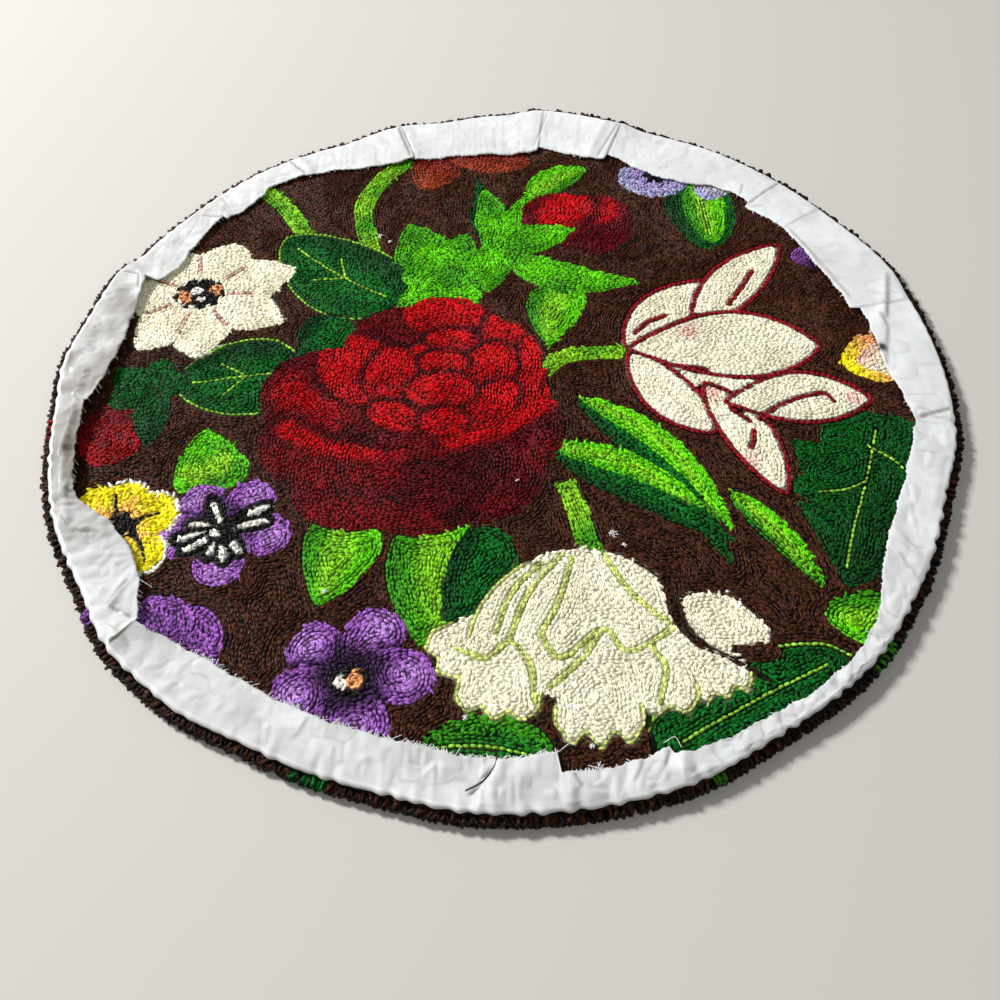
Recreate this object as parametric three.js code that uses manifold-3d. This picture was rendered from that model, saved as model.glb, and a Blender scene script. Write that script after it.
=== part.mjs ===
import * as THREE from "three";
import Module from "manifold-3d";

// A round hooked rug that lies on its loops, with its back upward. Millimetres, +Z up.
const PILE_HEIGHT = 7;
const CLOTH_THICKNESS = 1;
const STITCH_THICKNESS = 2;
const CLEARANCE = 0.3;

// How far the rim loops splay out past the fold of the cloth, and how uneven they are there.
const SPLAY = 6;
const PILE_STATIONS = 240;
const RIM_LUMPS = [
  { lumps: 61, size: 0.8, turn: 0.3 },
  { lumps: 97, size: 0.7, turn: 1.9 },
  { lumps: 23, size: 0.5, turn: 4 },
];
const RIM_SECTION = [
  { inward: 3.6, up: 0 },
  { inward: 0.9, up: 0.19 },
  { inward: 0, up: 0.5 },
  { inward: 1, up: 0.78 },
  { inward: 7.5, up: 1 },
];

// The turned margin, one row for each flap between two tucks: where it starts in degrees, the
// radius of the outer fold there, the radius of its raw inner edge at the start, the middle and
// the end, the height of the tuck at its start, and how far its inner edge stands up.
const HEM_FLAPS = [
  { from: 1, fold: 298.5, start: 258, middle: 259, end: 260, tuck: 0, lift: 0.6 },
  { from: 13.8, fold: 299.5, start: 252, middle: 252.5, end: 253, tuck: 1.2, lift: 1 },
  { from: 19.5, fold: 302.5, start: 253, middle: 253, end: 258.5, tuck: 0, lift: 1 },
  { from: 35, fold: 297, start: 257, middle: 255, end: 253, tuck: 0.6, lift: 0.4 },
  { from: 43, fold: 296.5, start: 257, middle: 258.5, end: 252, tuck: 1, lift: 0.4 },
  { from: 52, fold: 295.5, start: 251, middle: 241.5, end: 245, tuck: 0, lift: 0.4 },
  { from: 66.5, fold: 291, start: 245, middle: 248.5, end: 251, tuck: 0, lift: 0.2 },
  { from: 71, fold: 296, start: 242, middle: 242.5, end: 248, tuck: 1.2, lift: 0.2 },
  { from: 84, fold: 299, start: 243, middle: 237, end: 236, tuck: 1, lift: 0.2 },
  { from: 91, fold: 290, start: 236, middle: 237, end: 238, tuck: 0, lift: 0.2 },
  { from: 101, fold: 285, start: 238, middle: 238.5, end: 241, tuck: 0, lift: 0.2 },
  { from: 108, fold: 289, start: 242, middle: 243, end: 248, tuck: 1.6, lift: 0.5 },
  { from: 118, fold: 283.5, start: 248.5, middle: 252.5, end: 257, tuck: 0, lift: 0.3 },
  { from: 123, fold: 286, start: 257, middle: 260, end: 263, tuck: 0, lift: 0.3 },
  { from: 127.5, fold: 289, start: 262, middle: 267, end: 269, tuck: 1, lift: 0.4 },
  { from: 134, fold: 291.5, start: 269, middle: 263, end: 266, tuck: 0, lift: 0.6 },
  { from: 144, fold: 292.5, start: 269, middle: 266.5, end: 262.5, tuck: 1.4, lift: 0.8 },
  { from: 156, fold: 295.5, start: 262.5, middle: 264, end: 270, tuck: 0, lift: 1 },
  { from: 161, fold: 303.5, start: 278, middle: 273, end: 269.5, tuck: 1.8, lift: 1.6 },
  { from: 169, fold: 302.5, start: 269.5, middle: 267.5, end: 268, tuck: 0, lift: 2.2 },
  { from: 178, fold: 305.5, start: 268, middle: 272, end: 278, tuck: 0.6, lift: 3 },
  { from: 186, fold: 302, start: 279, middle: 284, end: 287, tuck: 1, lift: 5 },
  { from: 202, fold: 304, start: 286, middle: 271, end: 267, tuck: 1, lift: 3 },
  { from: 213, fold: 302, start: 267, middle: 272, end: 286, tuck: 0, lift: 2.5 },
  { from: 222, fold: 306.5, start: 286, middle: 278, end: 273, tuck: 2.2, lift: 2 },
  { from: 231, fold: 304, start: 273, middle: 270, end: 269, tuck: 0, lift: 1.2 },
  { from: 243, fold: 297.5, start: 269, middle: 268, end: 267, tuck: 0, lift: 0.8 },
  { from: 256, fold: 296, start: 267, middle: 268, end: 271, tuck: 0, lift: 0.6 },
  { from: 267, fold: 299, start: 271, middle: 270, end: 267, tuck: 1.2, lift: 0.8 },
  { from: 275.5, fold: 299, start: 279, middle: 280.5, end: 277, tuck: 1, lift: 0.8 },
  { from: 288, fold: 299, start: 282, middle: 284, end: 283.5, tuck: 1.2, lift: 0.8 },
  { from: 300, fold: 295, start: 283.5, middle: 286.5, end: 286, tuck: 0, lift: 0.5 },
  { from: 314, fold: 296.5, start: 286.5, middle: 280, end: 268, tuck: 0, lift: 0.6 },
  { from: 326, fold: 293.5, start: 268.5, middle: 264.5, end: 265, tuck: 0.8, lift: 0.8 },
  { from: 339, fold: 291.5, start: 265, middle: 267, end: 271, tuck: 0, lift: 0.8 },
  { from: 351, fold: 297.5, start: 270, middle: 265, end: 259, tuck: 1, lift: 0.8 },
];
const STATION_STEP = 3;
const TUCK_STEP = 0.3;
const TUCK_FADE = 6;
const HEM_COLUMNS = [0, 0.35, 0.7, 1];
const FOLD_STEPS = 4;

// The soft crease in the back: points along it, from the table's own centre, and its half width.
const CREASE = [
  { x: 95, y: -162, half: 2.5 },
  { x: 102, y: -187, half: 4.5 },
  { x: 117, y: -204, half: 3.5 },
  { x: 132, y: -213, half: 2 },
  { x: 147, y: -229, half: 1 },
];
const CREASE_DEPTH = 1.3;

const clothBottom = PILE_HEIGHT + CLEARANCE;
const clothTop = clothBottom + CLOTH_THICKNESS;
const stitchBottom = clothTop + CLEARANCE;
const stitchTop = stitchBottom + STITCH_THICKNESS;
const hemBottom = stitchTop + CLEARANCE;
const hemTop = hemBottom + CLOTH_THICKNESS;
const foldOuter = (hemTop - clothBottom) / 2;
const foldInner = foldOuter - CLOTH_THICKNESS;
const foldHeight = clothBottom + foldOuter;

const wasm = await Module();
wasm.setup();

// The flap at an angle, the flap after it, and how far along the flap the angle lies, 0 to 1.
function flapAt(degrees) {
  const turned = ((degrees - HEM_FLAPS[0].from + 720) % 360) + HEM_FLAPS[0].from;
  let index = HEM_FLAPS.length - 1;
  while (HEM_FLAPS[index].from > turned) index -= 1;
  const flap = HEM_FLAPS[index];
  const next = HEM_FLAPS[(index + 1) % HEM_FLAPS.length];
  const length = (next.from - flap.from + 360) % 360;
  return { flap, next, past: turned - flap.from, along: (turned - flap.from) / length };
}

function foldRadius(degrees) {
  const { flap, next, along } = flapAt(degrees);
  return THREE.MathUtils.lerp(flap.fold, next.fold, along * along * (3 - 2 * along));
}

// The raw edge's radius, the thickness that the tuck adds, and the lift of the edge.
function hemAt(degrees) {
  const { flap, next, past, along } = flapAt(degrees);
  const edge =
    flap.start * (1 - along) * (1 - 2 * along) +
    flap.middle * 4 * along * (1 - along) +
    flap.end * along * (2 * along - 1);
  const fade = Math.max(0, 1 - past / TUCK_FADE);
  return { edge, tuck: flap.tuck * fade, lift: THREE.MathUtils.lerp(flap.lift, next.lift, along) };
}

// A closed body whose sections, each a row of { r, z } points from the lower face round to the
// upper one, stand at the given angles; both faces run flat to the middle.
function bodyOfSections(angles, sectionAt) {
  const sections = angles.map(sectionAt);
  const points = sections[0].length;
  const positions = [];
  const faces = [];
  sections.forEach((section, i) => {
    const turn = THREE.MathUtils.degToRad(angles[i]);
    section.forEach(({ r, z }) => positions.push(r * Math.cos(turn), r * Math.sin(turn), z));
  });
  positions.push(0, 0, sections[0][0].z, 0, 0, sections[0][points - 1].z);
  const lowerMiddle = angles.length * points;
  const upperMiddle = lowerMiddle + 1;
  sections.forEach((section, i) => {
    const here = i * points;
    const there = ((i + 1) % sections.length) * points;
    for (let k = 0; k + 1 < points; k += 1) {
      faces.push(here + k, there + k, there + k + 1, here + k, there + k + 1, here + k + 1);
    }
    faces.push(lowerMiddle, there, here);
    faces.push(upperMiddle, here + points - 1, there + points - 1);
  });
  const geometry = new THREE.BufferGeometry();
  geometry.setAttribute("position", new THREE.Float32BufferAttribute(positions, 3));
  geometry.setIndex(faces);
  return geometry;
}

function hemStations() {
  const starts = HEM_FLAPS.map((flap) => flap.from);
  const near = (a, b) => Math.abs(((a - b + 540) % 360) - 180);
  const even = Array.from({ length: 360 / STATION_STEP }, (_, i) => i * STATION_STEP);
  const clear = even.filter((a) => starts.every((b) => near(a, b) > 3 * TUCK_STEP));
  const steps = starts.flatMap((a) => [a - TUCK_STEP, a + TUCK_STEP]);
  return [...clear, ...steps].sort((a, b) => a - b);
}

function pileSection(degrees) {
  const turn = THREE.MathUtils.degToRad(degrees);
  const lump = RIM_LUMPS.reduce((sum, row) => sum + row.size * Math.sin(row.lumps * turn + row.turn), 0);
  const rim = foldRadius(degrees) + SPLAY + lump;
  return RIM_SECTION.map(({ inward, up }) => ({ r: rim - inward, z: up * PILE_HEIGHT }));
}

// The cloth runs out under the stitches, round the fold and back over them to its raw edge.
function clothSection(degrees) {
  const axis = foldRadius(degrees) - foldOuter;
  const { edge, tuck, lift } = hemAt(degrees);
  const arc = (radius, i) => {
    const turn = (i / FOLD_STEPS - 0.5) * Math.PI;
    return { r: axis + radius * Math.cos(turn), z: foldHeight + radius * Math.sin(turn) };
  };
  const across = (s, z) => ({ r: THREE.MathUtils.lerp(axis, edge, s), z: z + lift * s * s });
  const turns = Array.from({ length: FOLD_STEPS + 1 }, (_, i) => i);
  const raised = HEM_COLUMNS.slice(1);
  return [
    ...turns.map((i) => arc(foldOuter, i)),
    ...raised.map((s) => across(s, hemTop + tuck)),
    ...raised.toReversed().map((s) => across(s, hemBottom)),
    ...turns.toReversed().map((i) => arc(foldInner, i)),
  ];
}

function stitchSection(degrees) {
  const edge = foldRadius(degrees) - foldOuter;
  return [
    { r: edge, z: stitchBottom },
    { r: edge, z: stitchTop },
  ];
}

function toSolid(geometry) {
  const mesh = new wasm.Mesh({
    numProp: 3,
    vertProperties: geometry.attributes.position.array,
    triVerts: new Uint32Array(geometry.index.array),
  });
  return new wasm.Manifold(mesh);
}

function toGeometry(solid) {
  const mesh = solid.getMesh();
  const geometry = new THREE.BufferGeometry();
  geometry.setAttribute("position", new THREE.BufferAttribute(mesh.vertProperties, 3));
  geometry.setIndex(new THREE.BufferAttribute(mesh.triVerts, 1));
  return geometry;
}

// The crease is a run of pointed hollows, each joined to the next.
function creaseHollow() {
  const hollows = CREASE.map(({ x, y, half }) =>
    wasm.Manifold.cylinder(2 * CREASE_DEPTH, half * 0.15, half * 1.85, 10).translate([
      x,
      y,
      stitchTop - CREASE_DEPTH,
    ]),
  );
  const runs = hollows.slice(1).map((hollow, i) => wasm.Manifold.hull([hollows[i], hollow]));
  return wasm.Manifold.union(runs);
}

const evenStations = Array.from({ length: PILE_STATIONS }, (_, i) => (i * 360) / PILE_STATIONS);
const stations = hemStations();
const pile = bodyOfSections(evenStations, pileSection);
const cloth = bodyOfSections(stations, clothSection);
const stitches = toGeometry(toSolid(bodyOfSections(stations, stitchSection)).subtract(creaseHollow()));

// The middle of the pile's outline is the middle of the part.
pile.computeBoundingBox();
const middle = pile.boundingBox.getCenter(new THREE.Vector3());

const yarn = new THREE.MeshStandardMaterial({ color: 0x3a2419, roughness: 0.95, metalness: 0 });
const backYarn = new THREE.MeshStandardMaterial({ color: 0x452c20, roughness: 0.9, metalness: 0 });
const cotton = new THREE.MeshStandardMaterial({ color: 0xe2e2de, roughness: 0.92, metalness: 0 });

const group = new THREE.Group();
[
  { name: "loop_pile", geometry: pile, material: yarn },
  { name: "foundation_cloth", geometry: cloth, material: cotton },
  { name: "back_stitches", geometry: stitches, material: backYarn },
].forEach(({ name, geometry, material }) => {
  geometry.translate(-middle.x, -middle.y, 0);
  geometry.computeVertexNormals();
  const mesh = new THREE.Mesh(geometry, material);
  mesh.name = name;
  group.add(mesh);
});

export default group;
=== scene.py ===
import math

import bpy
import numpy as np
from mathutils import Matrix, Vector


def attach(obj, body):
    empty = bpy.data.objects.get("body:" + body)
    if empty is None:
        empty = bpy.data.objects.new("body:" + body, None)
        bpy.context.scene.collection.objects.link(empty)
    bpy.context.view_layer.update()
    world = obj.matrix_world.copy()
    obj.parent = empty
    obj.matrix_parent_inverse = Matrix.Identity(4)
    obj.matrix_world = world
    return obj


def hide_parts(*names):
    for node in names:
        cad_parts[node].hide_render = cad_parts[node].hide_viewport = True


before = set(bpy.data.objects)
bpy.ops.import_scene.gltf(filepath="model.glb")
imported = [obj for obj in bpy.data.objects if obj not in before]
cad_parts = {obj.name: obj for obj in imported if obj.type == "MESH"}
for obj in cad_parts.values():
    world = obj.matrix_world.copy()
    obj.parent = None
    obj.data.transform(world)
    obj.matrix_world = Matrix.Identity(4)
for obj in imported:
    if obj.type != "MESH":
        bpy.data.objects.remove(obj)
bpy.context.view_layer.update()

# The drawn pattern. A maker draws the flowers and leaves on the cloth, then hooks each shape in
# dyed wool, outline first. Every shape below comes from its own few sizes, in millimetres on the
# plan of the back, and is laid over the shapes before it.
REACH = 312.0
CELL = 0.5
ROW_STEP, ROW_EDGE = 1.2, 1.4


def dye(red, green, blue):
    """A yarn colour as the eye reads it, 0 to 255, turned into scene light."""
    tone = np.array([red, green, blue]) / 255.0
    return np.where(tone <= 0.04045, tone / 12.92, ((tone + 0.055) / 1.055) ** 2.4)


GROUND, REDS, GREENS, PALES, BRIGHTS = range(5)
YARN = {
    "earth": (GROUND, dye(61, 29, 11)),
    "ink": (BRIGHTS, dye(9, 7, 8)),
    "scarlet": (REDS, dye(187, 0, 10)),
    "crimson": (REDS, dye(143, 0, 10)),
    "maroon": (REDS, dye(100, 0, 10)),
    "shadow": (REDS, dye(58, 0, 6)),
    "wine": (REDS, dye(146, 10, 30)),
    "rust": (REDS, dye(154, 62, 32)),
    "sprout": (GREENS, dye(150, 212, 40)),
    "grass": (GREENS, dye(98, 204, 6)),
    "moss": (GREENS, dye(54, 138, 14)),
    "jade": (GREENS, dye(4, 112, 32)),
    "fern": (GREENS, dye(2, 90, 22)),
    "pine": (GREENS, dye(2, 58, 16)),
    "fresh": (GREENS, dye(148, 210, 64)),
    "lime": (GREENS, dye(218, 228, 134)),
    "cream": (PALES, dye(250, 247, 222)),
    "oat": (PALES, dye(240, 234, 204)),
    "blush": (PALES, dye(236, 176, 166)),
    "peach": (BRIGHTS, dye(230, 160, 104)),
    "orchid": (BRIGHTS, dye(190, 142, 212)),
    "violet": (BRIGHTS, dye(145, 85, 170)),
    "plum": (BRIGHTS, dye(60, 24, 78)),
    "lilac": (BRIGHTS, dye(168, 164, 204)),
    "yellow": (BRIGHTS, dye(248, 232, 24)),
    "snow": (BRIGHTS, dye(246, 244, 232)),
}

steps = int(2 * REACH / CELL)
plan_line = (np.arange(steps) + 0.5) * CELL - REACH
region = np.zeros((steps, steps), np.int32)
family = np.zeros((steps, steps), np.int8)
dyed = np.empty((steps, steps, 3), np.float32)
dyed[:] = YARN["earth"][1]
single_rows = []


def covered(outline, margin=1.0):
    """The window of the plan that an outline lies in, and which of its cells are inside."""
    low = np.clip(((outline.min(0) - margin + REACH) / CELL).astype(int), 0, steps)
    high = np.clip(((outline.max(0) + margin + REACH) / CELL).astype(int) + 2, 0, steps)
    window = (slice(low[1], high[1]), slice(low[0], high[0]))
    x = plan_line[window[1]][None, :]
    y = plan_line[window[0]][:, None]
    within = np.zeros((high[1] - low[1], high[0] - low[0]), bool)
    for (xa, ya), (xb, yb) in zip(outline, np.roll(outline, -1, 0)):
        if ya != yb:
            within ^= ((ya > y) != (yb > y)) & (x < (xb - xa) * (y - ya) / (yb - ya) + xa)
    return window, within, x, y


def fill(outline, yarn, deep=None, shade=None):
    """Hooks a shape in one yarn, or shaded into a second one where shade(x, y) nears 1."""
    window, within, x, y = covered(outline)
    kind, colour = YARN[yarn]
    if deep is None:
        tint = np.broadcast_to(colour, within.shape + (3,))
    else:
        share = np.broadcast_to(np.clip(shade(x, y), 0, 1), within.shape)[..., None]
        tint = colour * (1 - share) + YARN[deep][1] * share
    dyed[window][within] = tint[within]
    family[window][within] = kind
    region[window][within] = region.max() + 1


def blurred(mask, cells):
    """Softens a mask over that many cells each way."""
    size = 2 * cells + 1
    for _ in range(4):
        total = np.cumsum(np.pad(mask, ((cells + 1, cells), (0, 0))), 0)
        mask = ((total[size:] - total[:-size]) / size).T
    return mask


def stain(outline, yarn, strength=1.0, soft=3.0):
    """Shades the rows inside an outline towards another dye of the same family, with a soft edge."""
    window, within, _, _ = covered(outline, 2 * soft)
    kind, colour = YARN[yarn]
    cells = max(1, int(0.5 * soft / CELL))
    share = strength * blurred(within.astype(float), cells) * (family[window] == kind)
    dyed[window] = dyed[window] * (1 - share[..., None]) + colour * share[..., None]


def smooth_run(points, count=40):
    """A smooth run through a few points."""
    points = np.asarray(points, float)
    ends = np.vstack([2 * points[0] - points[1], points, 2 * points[-1] - points[-2]])
    t = np.linspace(0, len(points) - 1, count)
    k = np.minimum(t.astype(int), len(points) - 2)
    f = (t - k)[:, None]
    a, b, c, d = ends[k], ends[k + 1], ends[k + 2], ends[k + 3]
    return 0.5 * (2 * b + (c - a) * f + (2 * a - 5 * b + 4 * c - d) * f**2 + (3 * b - a - 3 * c + d) * f**3)


def aside(run):
    """The way to the left of a run at each of its points."""
    ahead = np.gradient(run, axis=0)
    return np.stack([-ahead[:, 1], ahead[:, 0]], 1) / np.linalg.norm(ahead, axis=1)[:, None].clip(1e-6)


def band(points, width, taper=1.0, count=40):
    """The outline of a stalk or line along a smooth run, narrowing to taper at its end."""
    run = smooth_run(points, count)
    half = 0.5 * width * np.linspace(1, taper, count)[:, None]
    return np.vstack([run + aside(run) * half, (run - aside(run) * half)[::-1]])


def line(points, yarn, count=40, smooth=True, rows=1):
    """One or two rows of stitches that draw a vein or an outline."""
    run = smooth_run(points, count) if smooth else np.asarray(points)
    fill(band(run, ROW_EDGE + ROW_STEP * rows, 1.0, len(run)), yarn)
    for k in range(rows):
        beside = ROW_STEP * (k - 0.5 * (rows - 1))
        single_rows.append((run + beside * aside(run), yarn, region.max()))


def set_out(x, y, aim, along, off):
    """Places that lie so far along an aim from a foot, and so far to its left."""
    c, s = math.cos(math.radians(aim)), math.sin(math.radians(aim))
    return np.stack([x + along * c - off * s, y + along * s + off * c], 1)


def petal(x, y, aim, length, width, tip=0.5, fat=0.8, bend=0.0, count=26):
    """A petal or leaf from its foot along aim; tip near 1 is pointed and near 0.4 round."""
    t = np.linspace(0, 1, count)
    half = 0.5 * width * np.sin(math.pi * t**fat).clip(0) ** tip
    sway = bend * np.sin(math.pi * t)
    left = set_out(x, y, aim, length * t, sway + half)
    right = set_out(x, y, aim, length * t, sway - half)
    return np.vstack([left, right[::-1]])


def jagged(x, y, aim, length, width, teeth, deep, fat=0.8, bend=0.0):
    """A leaf with pointed teeth along both sides."""
    t = np.linspace(0, 1, 8 * teeth + 1)
    saw = 1 - deep * ((t * teeth) % 1)
    half = 0.5 * width * np.sin(math.pi * t**fat).clip(0) ** 0.7 * saw
    sway = bend * np.sin(math.pi * t)
    left = set_out(x, y, aim, length * t, sway + half)
    right = set_out(x, y, aim, length * t, sway - half)
    return np.vstack([left, right[::-1]])


def toothed(x, y, aim, length, width, teeth, deep):
    """A petal that widens to a cut edge with teeth."""
    t = np.linspace(0, 1, 16)
    half = 0.5 * width * np.sin(0.5 * math.pi * t) ** 0.55
    u = np.linspace(1, -1, 2 * teeth + 1)
    end = length * (1 + 0.06 * (1 - u**2)) - deep * (np.arange(2 * teeth + 1) % 2 == 0)
    along = np.concatenate([0.86 * length * t, end, (0.86 * length * t)[::-1]])
    off = np.concatenate([half, 0.5 * width * u, -half[::-1]])
    return set_out(x, y, aim, along, off)


def bloom(x, y, radius, lobes, depth, turn=0.0, squash=1.0):
    """A round of equal lobes."""
    a = np.linspace(0, 2 * math.pi, 90, endpoint=False)
    r = radius * (1 - depth + depth * np.abs(np.cos(0.5 * lobes * (a - math.radians(turn)))) ** 0.7)
    return np.stack([x + r * np.cos(a), y + squash * r * np.sin(a)], 1)


def fade(ax, ay, bx, by):
    """Shading that grows from 0 at the first point to 1 at the second."""
    length = (bx - ax) ** 2 + (by - ay) ** 2

    def share(x, y):
        return ((x - ax) * (bx - ax) + (y - ay) * (by - ay)) / length

    return share


def rim_fade(cx, cy, outer, inner):
    """Shading that grows from 0 at the outer radius to 1 at the inner one."""

    def share(x, y):
        return (outer - np.hypot(x - cx, y - cy)) / (outer - inner)

    return share


def mottle(x, y):
    """Broad uneven shading, as where two skeins were used."""
    return 0.5 + 0.5 * np.sin(0.09 * x + 0.05 * y) * np.sin(0.06 * x - 0.1 * y + 1)


def leaf(x0, y0, x1, y1, width, yarn, deep=None, veins=0, edged=False, tip=0.75, bend=0.0, fat=0.75):
    """A leaf from stalk to point, shaded across, with a bright rim and veins where it has them."""
    aim = math.degrees(math.atan2(y1 - y0, x1 - x0))
    length = math.hypot(x1 - x0, y1 - y0)
    outline = petal(x0, y0, aim, length, width, tip, fat, bend)
    ux, uy = (x1 - x0) / length, (y1 - y0) / length
    wide = 0.4 * width
    side = fade(x0 - wide * uy, y0 + wide * ux, x0 + wide * uy, y0 - wide * ux)
    fill(outline, yarn, deep, side)
    lit = petal(x0, y0, aim, 0.9 * length, wide, 0.6, 0.8, bend)
    stain(lit, "sprout" if yarn == "grass" else "jade", 0.6, 0.12 * width)
    if edged:
        line(np.vstack([outline, outline[:1]]), "fresh", smooth=False)
    t = np.linspace(0.12, 0.88, 30)
    sway = bend * np.sin(math.pi * t)
    middle = np.stack([x0 + length * t * ux - sway * uy, y0 + length * t * uy + sway * ux], 1)
    if veins:
        line(middle, "fresh", smooth=False)
    for k in range(1, veins):
        foot = middle[int(len(middle) * k / (veins + 0.5))]
        for way in (-1, 1):
            end = foot + 0.3 * width * np.array([0.75 * ux - way * 0.65 * uy, 0.75 * uy + way * 0.65 * ux])
            line([foot + 0.1 * (end - foot), 0.5 * (foot + end), end], "fresh", 12)


# Stalks and the leaves that lie behind the flowers.
STALKS = [
    # places along it, width, share of the width at its end
    ([(-188, 196), (-170, 176), (-148, 142)], 14.0, 1.0),
    ([(-72, 234), (-96, 206), (-107, 172), (-98, 124)], 15.0, 1.0),
    ([(-116, 74), (-118, 58), (-114, 44)], 11.0, 1.0),
    ([(30, 6), (48, 19), (92, 23)], 13.0, 1.0),
    ([(40, -88), (47, -112), (54, -142)], 13.0, 1.2),
]
for points, width, taper in STALKS:
    fill(band(points, width, taper), "sprout", "moss", mottle)
LEAVES = [
    # stalk, point, width, yarn, deeper yarn, veins, bright rim, point, bend, where it is widest
    (-72, 70, -164, 138, 74, "fern", "pine", 2, True, 0.55, 5),
    (-138, 6, -220, -8, 68, "fern", "pine", 2, True, 0.5, 0),
    (-114, 56, -134, 12, 42, "fern", "pine", 0, False, 0.55, 0),
    (-6, 130, -18, 208, 20, "pine", "fern", 0, False, 0.8, 3),
    (22, 186, 68, 224, 29, "grass", "moss", 0, False, 0.55, 4),
    (45, 88, 33, 27, 42, "grass", "moss", 0, False, 0.75, -3, 0.55),
    (-92, -114, -107, -178, 48, "grass", "moss", 0, False, 0.7, 0, 0.55),
    (-41, -114, -34, -208, 62, "grass", "moss", 0, False, 0.5, 0),
    (-6, -122, -28, -196, 42, "fern", "pine", 0, False, 0.55, 3),
    (150, 208, 157, 126, 54, "fern", "pine", 0, False, 0.55, 2),
    (156, 204, 160, 134, 33, "grass", "moss", 1, False, 0.55, 0),
    (52, -18, 138, -150, 28, "fern", "pine", 0, False, 0.75, 12),
    (52, -18, 142, -128, 19, "grass", "moss", 0, False, 0.75, 16),
    (28, -58, 142, -134, 30, "fern", "pine", 0, False, 0.75, 4),
    (30, -59, 130, -112, 20, "grass", "moss", 0, False, 0.75, 10),
    (144, -96, 190, -164, 19, "grass", "fern", 0, False, 0.65, 3),
    (242, -190, 186, -182, 38, "grass", "moss", 0, False, 0.55, 0),
    (30, -272, -46, -264, 40, "fern", "moss", 1, False, 0.55, -6),
    (82, -268, 196, -208, 56, "fern", "pine", 1, True, 0.5, 2),
]
for row in LEAVES:
    leaf(*row)
fill(petal(-180, -98, 106, 54, 48, 0.66, 0.55), "grass", "moss", mottle)
stain(band([(-176, -94), (-184, -76), (-192, -54)], 7, 0.4), "moss", 0.9, 3)
stain(petal(-186, -84, 60, 22, 16, 0.5), "sprout", 0.9, 4)
stain(petal(-186, -84, 170, 20, 14, 0.5), "sprout", 0.9, 4)
for aim, length, width in ((218, 44, 32), (312, 36, 30), (26, 56, 34), (112, 78, 50), (76, 62, 44)):
    fill(jagged(-42, 84, aim, length, width, 2, 0.25, 0.9), "grass", "moss", mottle)
fill(bloom(-42, 92, 33, 7, 0.25, 10), "grass", "moss", mottle)
for x, y, aim, length, width, bend in (
    (0, 112, 100, 86, 34, -3), (6, 118, 78, 76, 34, 0), (-4, 128, 250, 44, 34, 0),
):
    fill(jagged(x, y, aim, length, width, 2, 0.2, 0.75, bend), "grass", "moss", mottle)
for x, y, aim, length, width in (
    (-240, -14, 138, 30, 26), (-238, -12, 72, 28, 26), (-236, -10, 20, 24, 24), (-240, -14, 208, 26, 22),
    (-234, -8, 274, 52, 25),
):
    fill(petal(x, y, aim, length, width, 0.6, 0.8), "fern", "pine", fade(-250, 10, -225, -50))
fill(jagged(262, -36, 246, 142, 118, 3, 0.32, 0.62), "fern", "pine", fade(190, -60, 260, -130))
fill(petal(244, -78, 196, 64, 50, 0.75, 0.8), "fern", "pine", fade(190, -60, 260, -130))
for run in (
    [(246, -44), (232, -84), (216, -122), (206, -150)], [(230, -88), (216, -94), (200, -96)],
    [(238, -60), (252, -72), (260, -84)]
):
    line(run, "fresh", 30)

# The big rose: dark outer petals, then rounds of red ones with shadow between them.
for aim, length, width in (
    (172, 112, 88), (204, 114, 88), (342, 98, 84), (234, 114, 96), (306, 106, 96), (270, 104, 106),
    (20, 88, 70),
):
    fill(petal(-52, -26, aim, length, width, 0.42, 0.9), "maroon", "shadow", mottle)
fill(bloom(-44, 2, 74, 6, 0.1, 20), "maroon")
for run, width, yarn, strength, soft in (
    ([(-152, -4), (-134, -20), (-104, -40)], 26, "scarlet", 0.75, 9),
    ([(-146, -44), (-112, -62), (-62, -69)], 15, "scarlet", 0.95, 4),
    ([(-150, -64), (-112, -82), (-60, -78)], 26, "crimson", 0.4, 12),
    ([(-120, -108), (-80, -114), (-40, -112)], 24, "crimson", 0.5, 12),
    ([(42, -6), (20, -29), (-5, -46), (-38, -58)], 19, "scarlet", 0.95, 4),
    ([(-10, -104), (16, -84), (40, -52)], 22, "crimson", 0.35, 12),
    ([(-40, -84), (0, -92), (30, -86)], 26, "shadow", 0.8, 10),
    ([(-60, -74), (-90, -52), (-118, -30)], 9, "shadow", 0.6, 6),
):
    stain(band(run, width, 0.5), yarn, strength, soft)
ROSE_PETALS = [
    # foot, aim, length, width
    (-41, 41, 92, 37, 58), (3, 21, 84, 42, 36), (11, -24, 76, 68, 24), (-35, 23, 92, 21, 36),
    (-79, -21, 124, 67, 52), (-15, -14, 71, 47, 34), (-60, 2, 80, 27, 18), (-40, 3, 92, 20, 34),
    (-79, -22, 83, 49, 34), (-21, -45, 55, 49, 28), (-40, -28, 92, 31, 46), (-54, -43, 156, 37, 23),
    (-37, -51, 92, 23, 32),
]
for x, y, aim, length, width in ROSE_PETALS:
    a = math.radians(aim)
    behind = petal(x - 3 * math.cos(a), y - 3 * math.sin(a), aim, length + 7, width + 8, 0.42, 0.95)
    stain(behind, "shadow", 0.95, 2.5)
    stain(petal(x, y, aim, length, width, 0.42, 0.95), "scarlet", 1.0, 2)
    stain(petal(x, y, aim, 0.5 * length, 0.8 * width, 0.45, 0.8), "crimson", 0.6, 7)
stain(band([(44, -6), (21, -28), (-4, -46), (-36, -57)], 14, 0.6), "scarlet", 0.9, 3)

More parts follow.
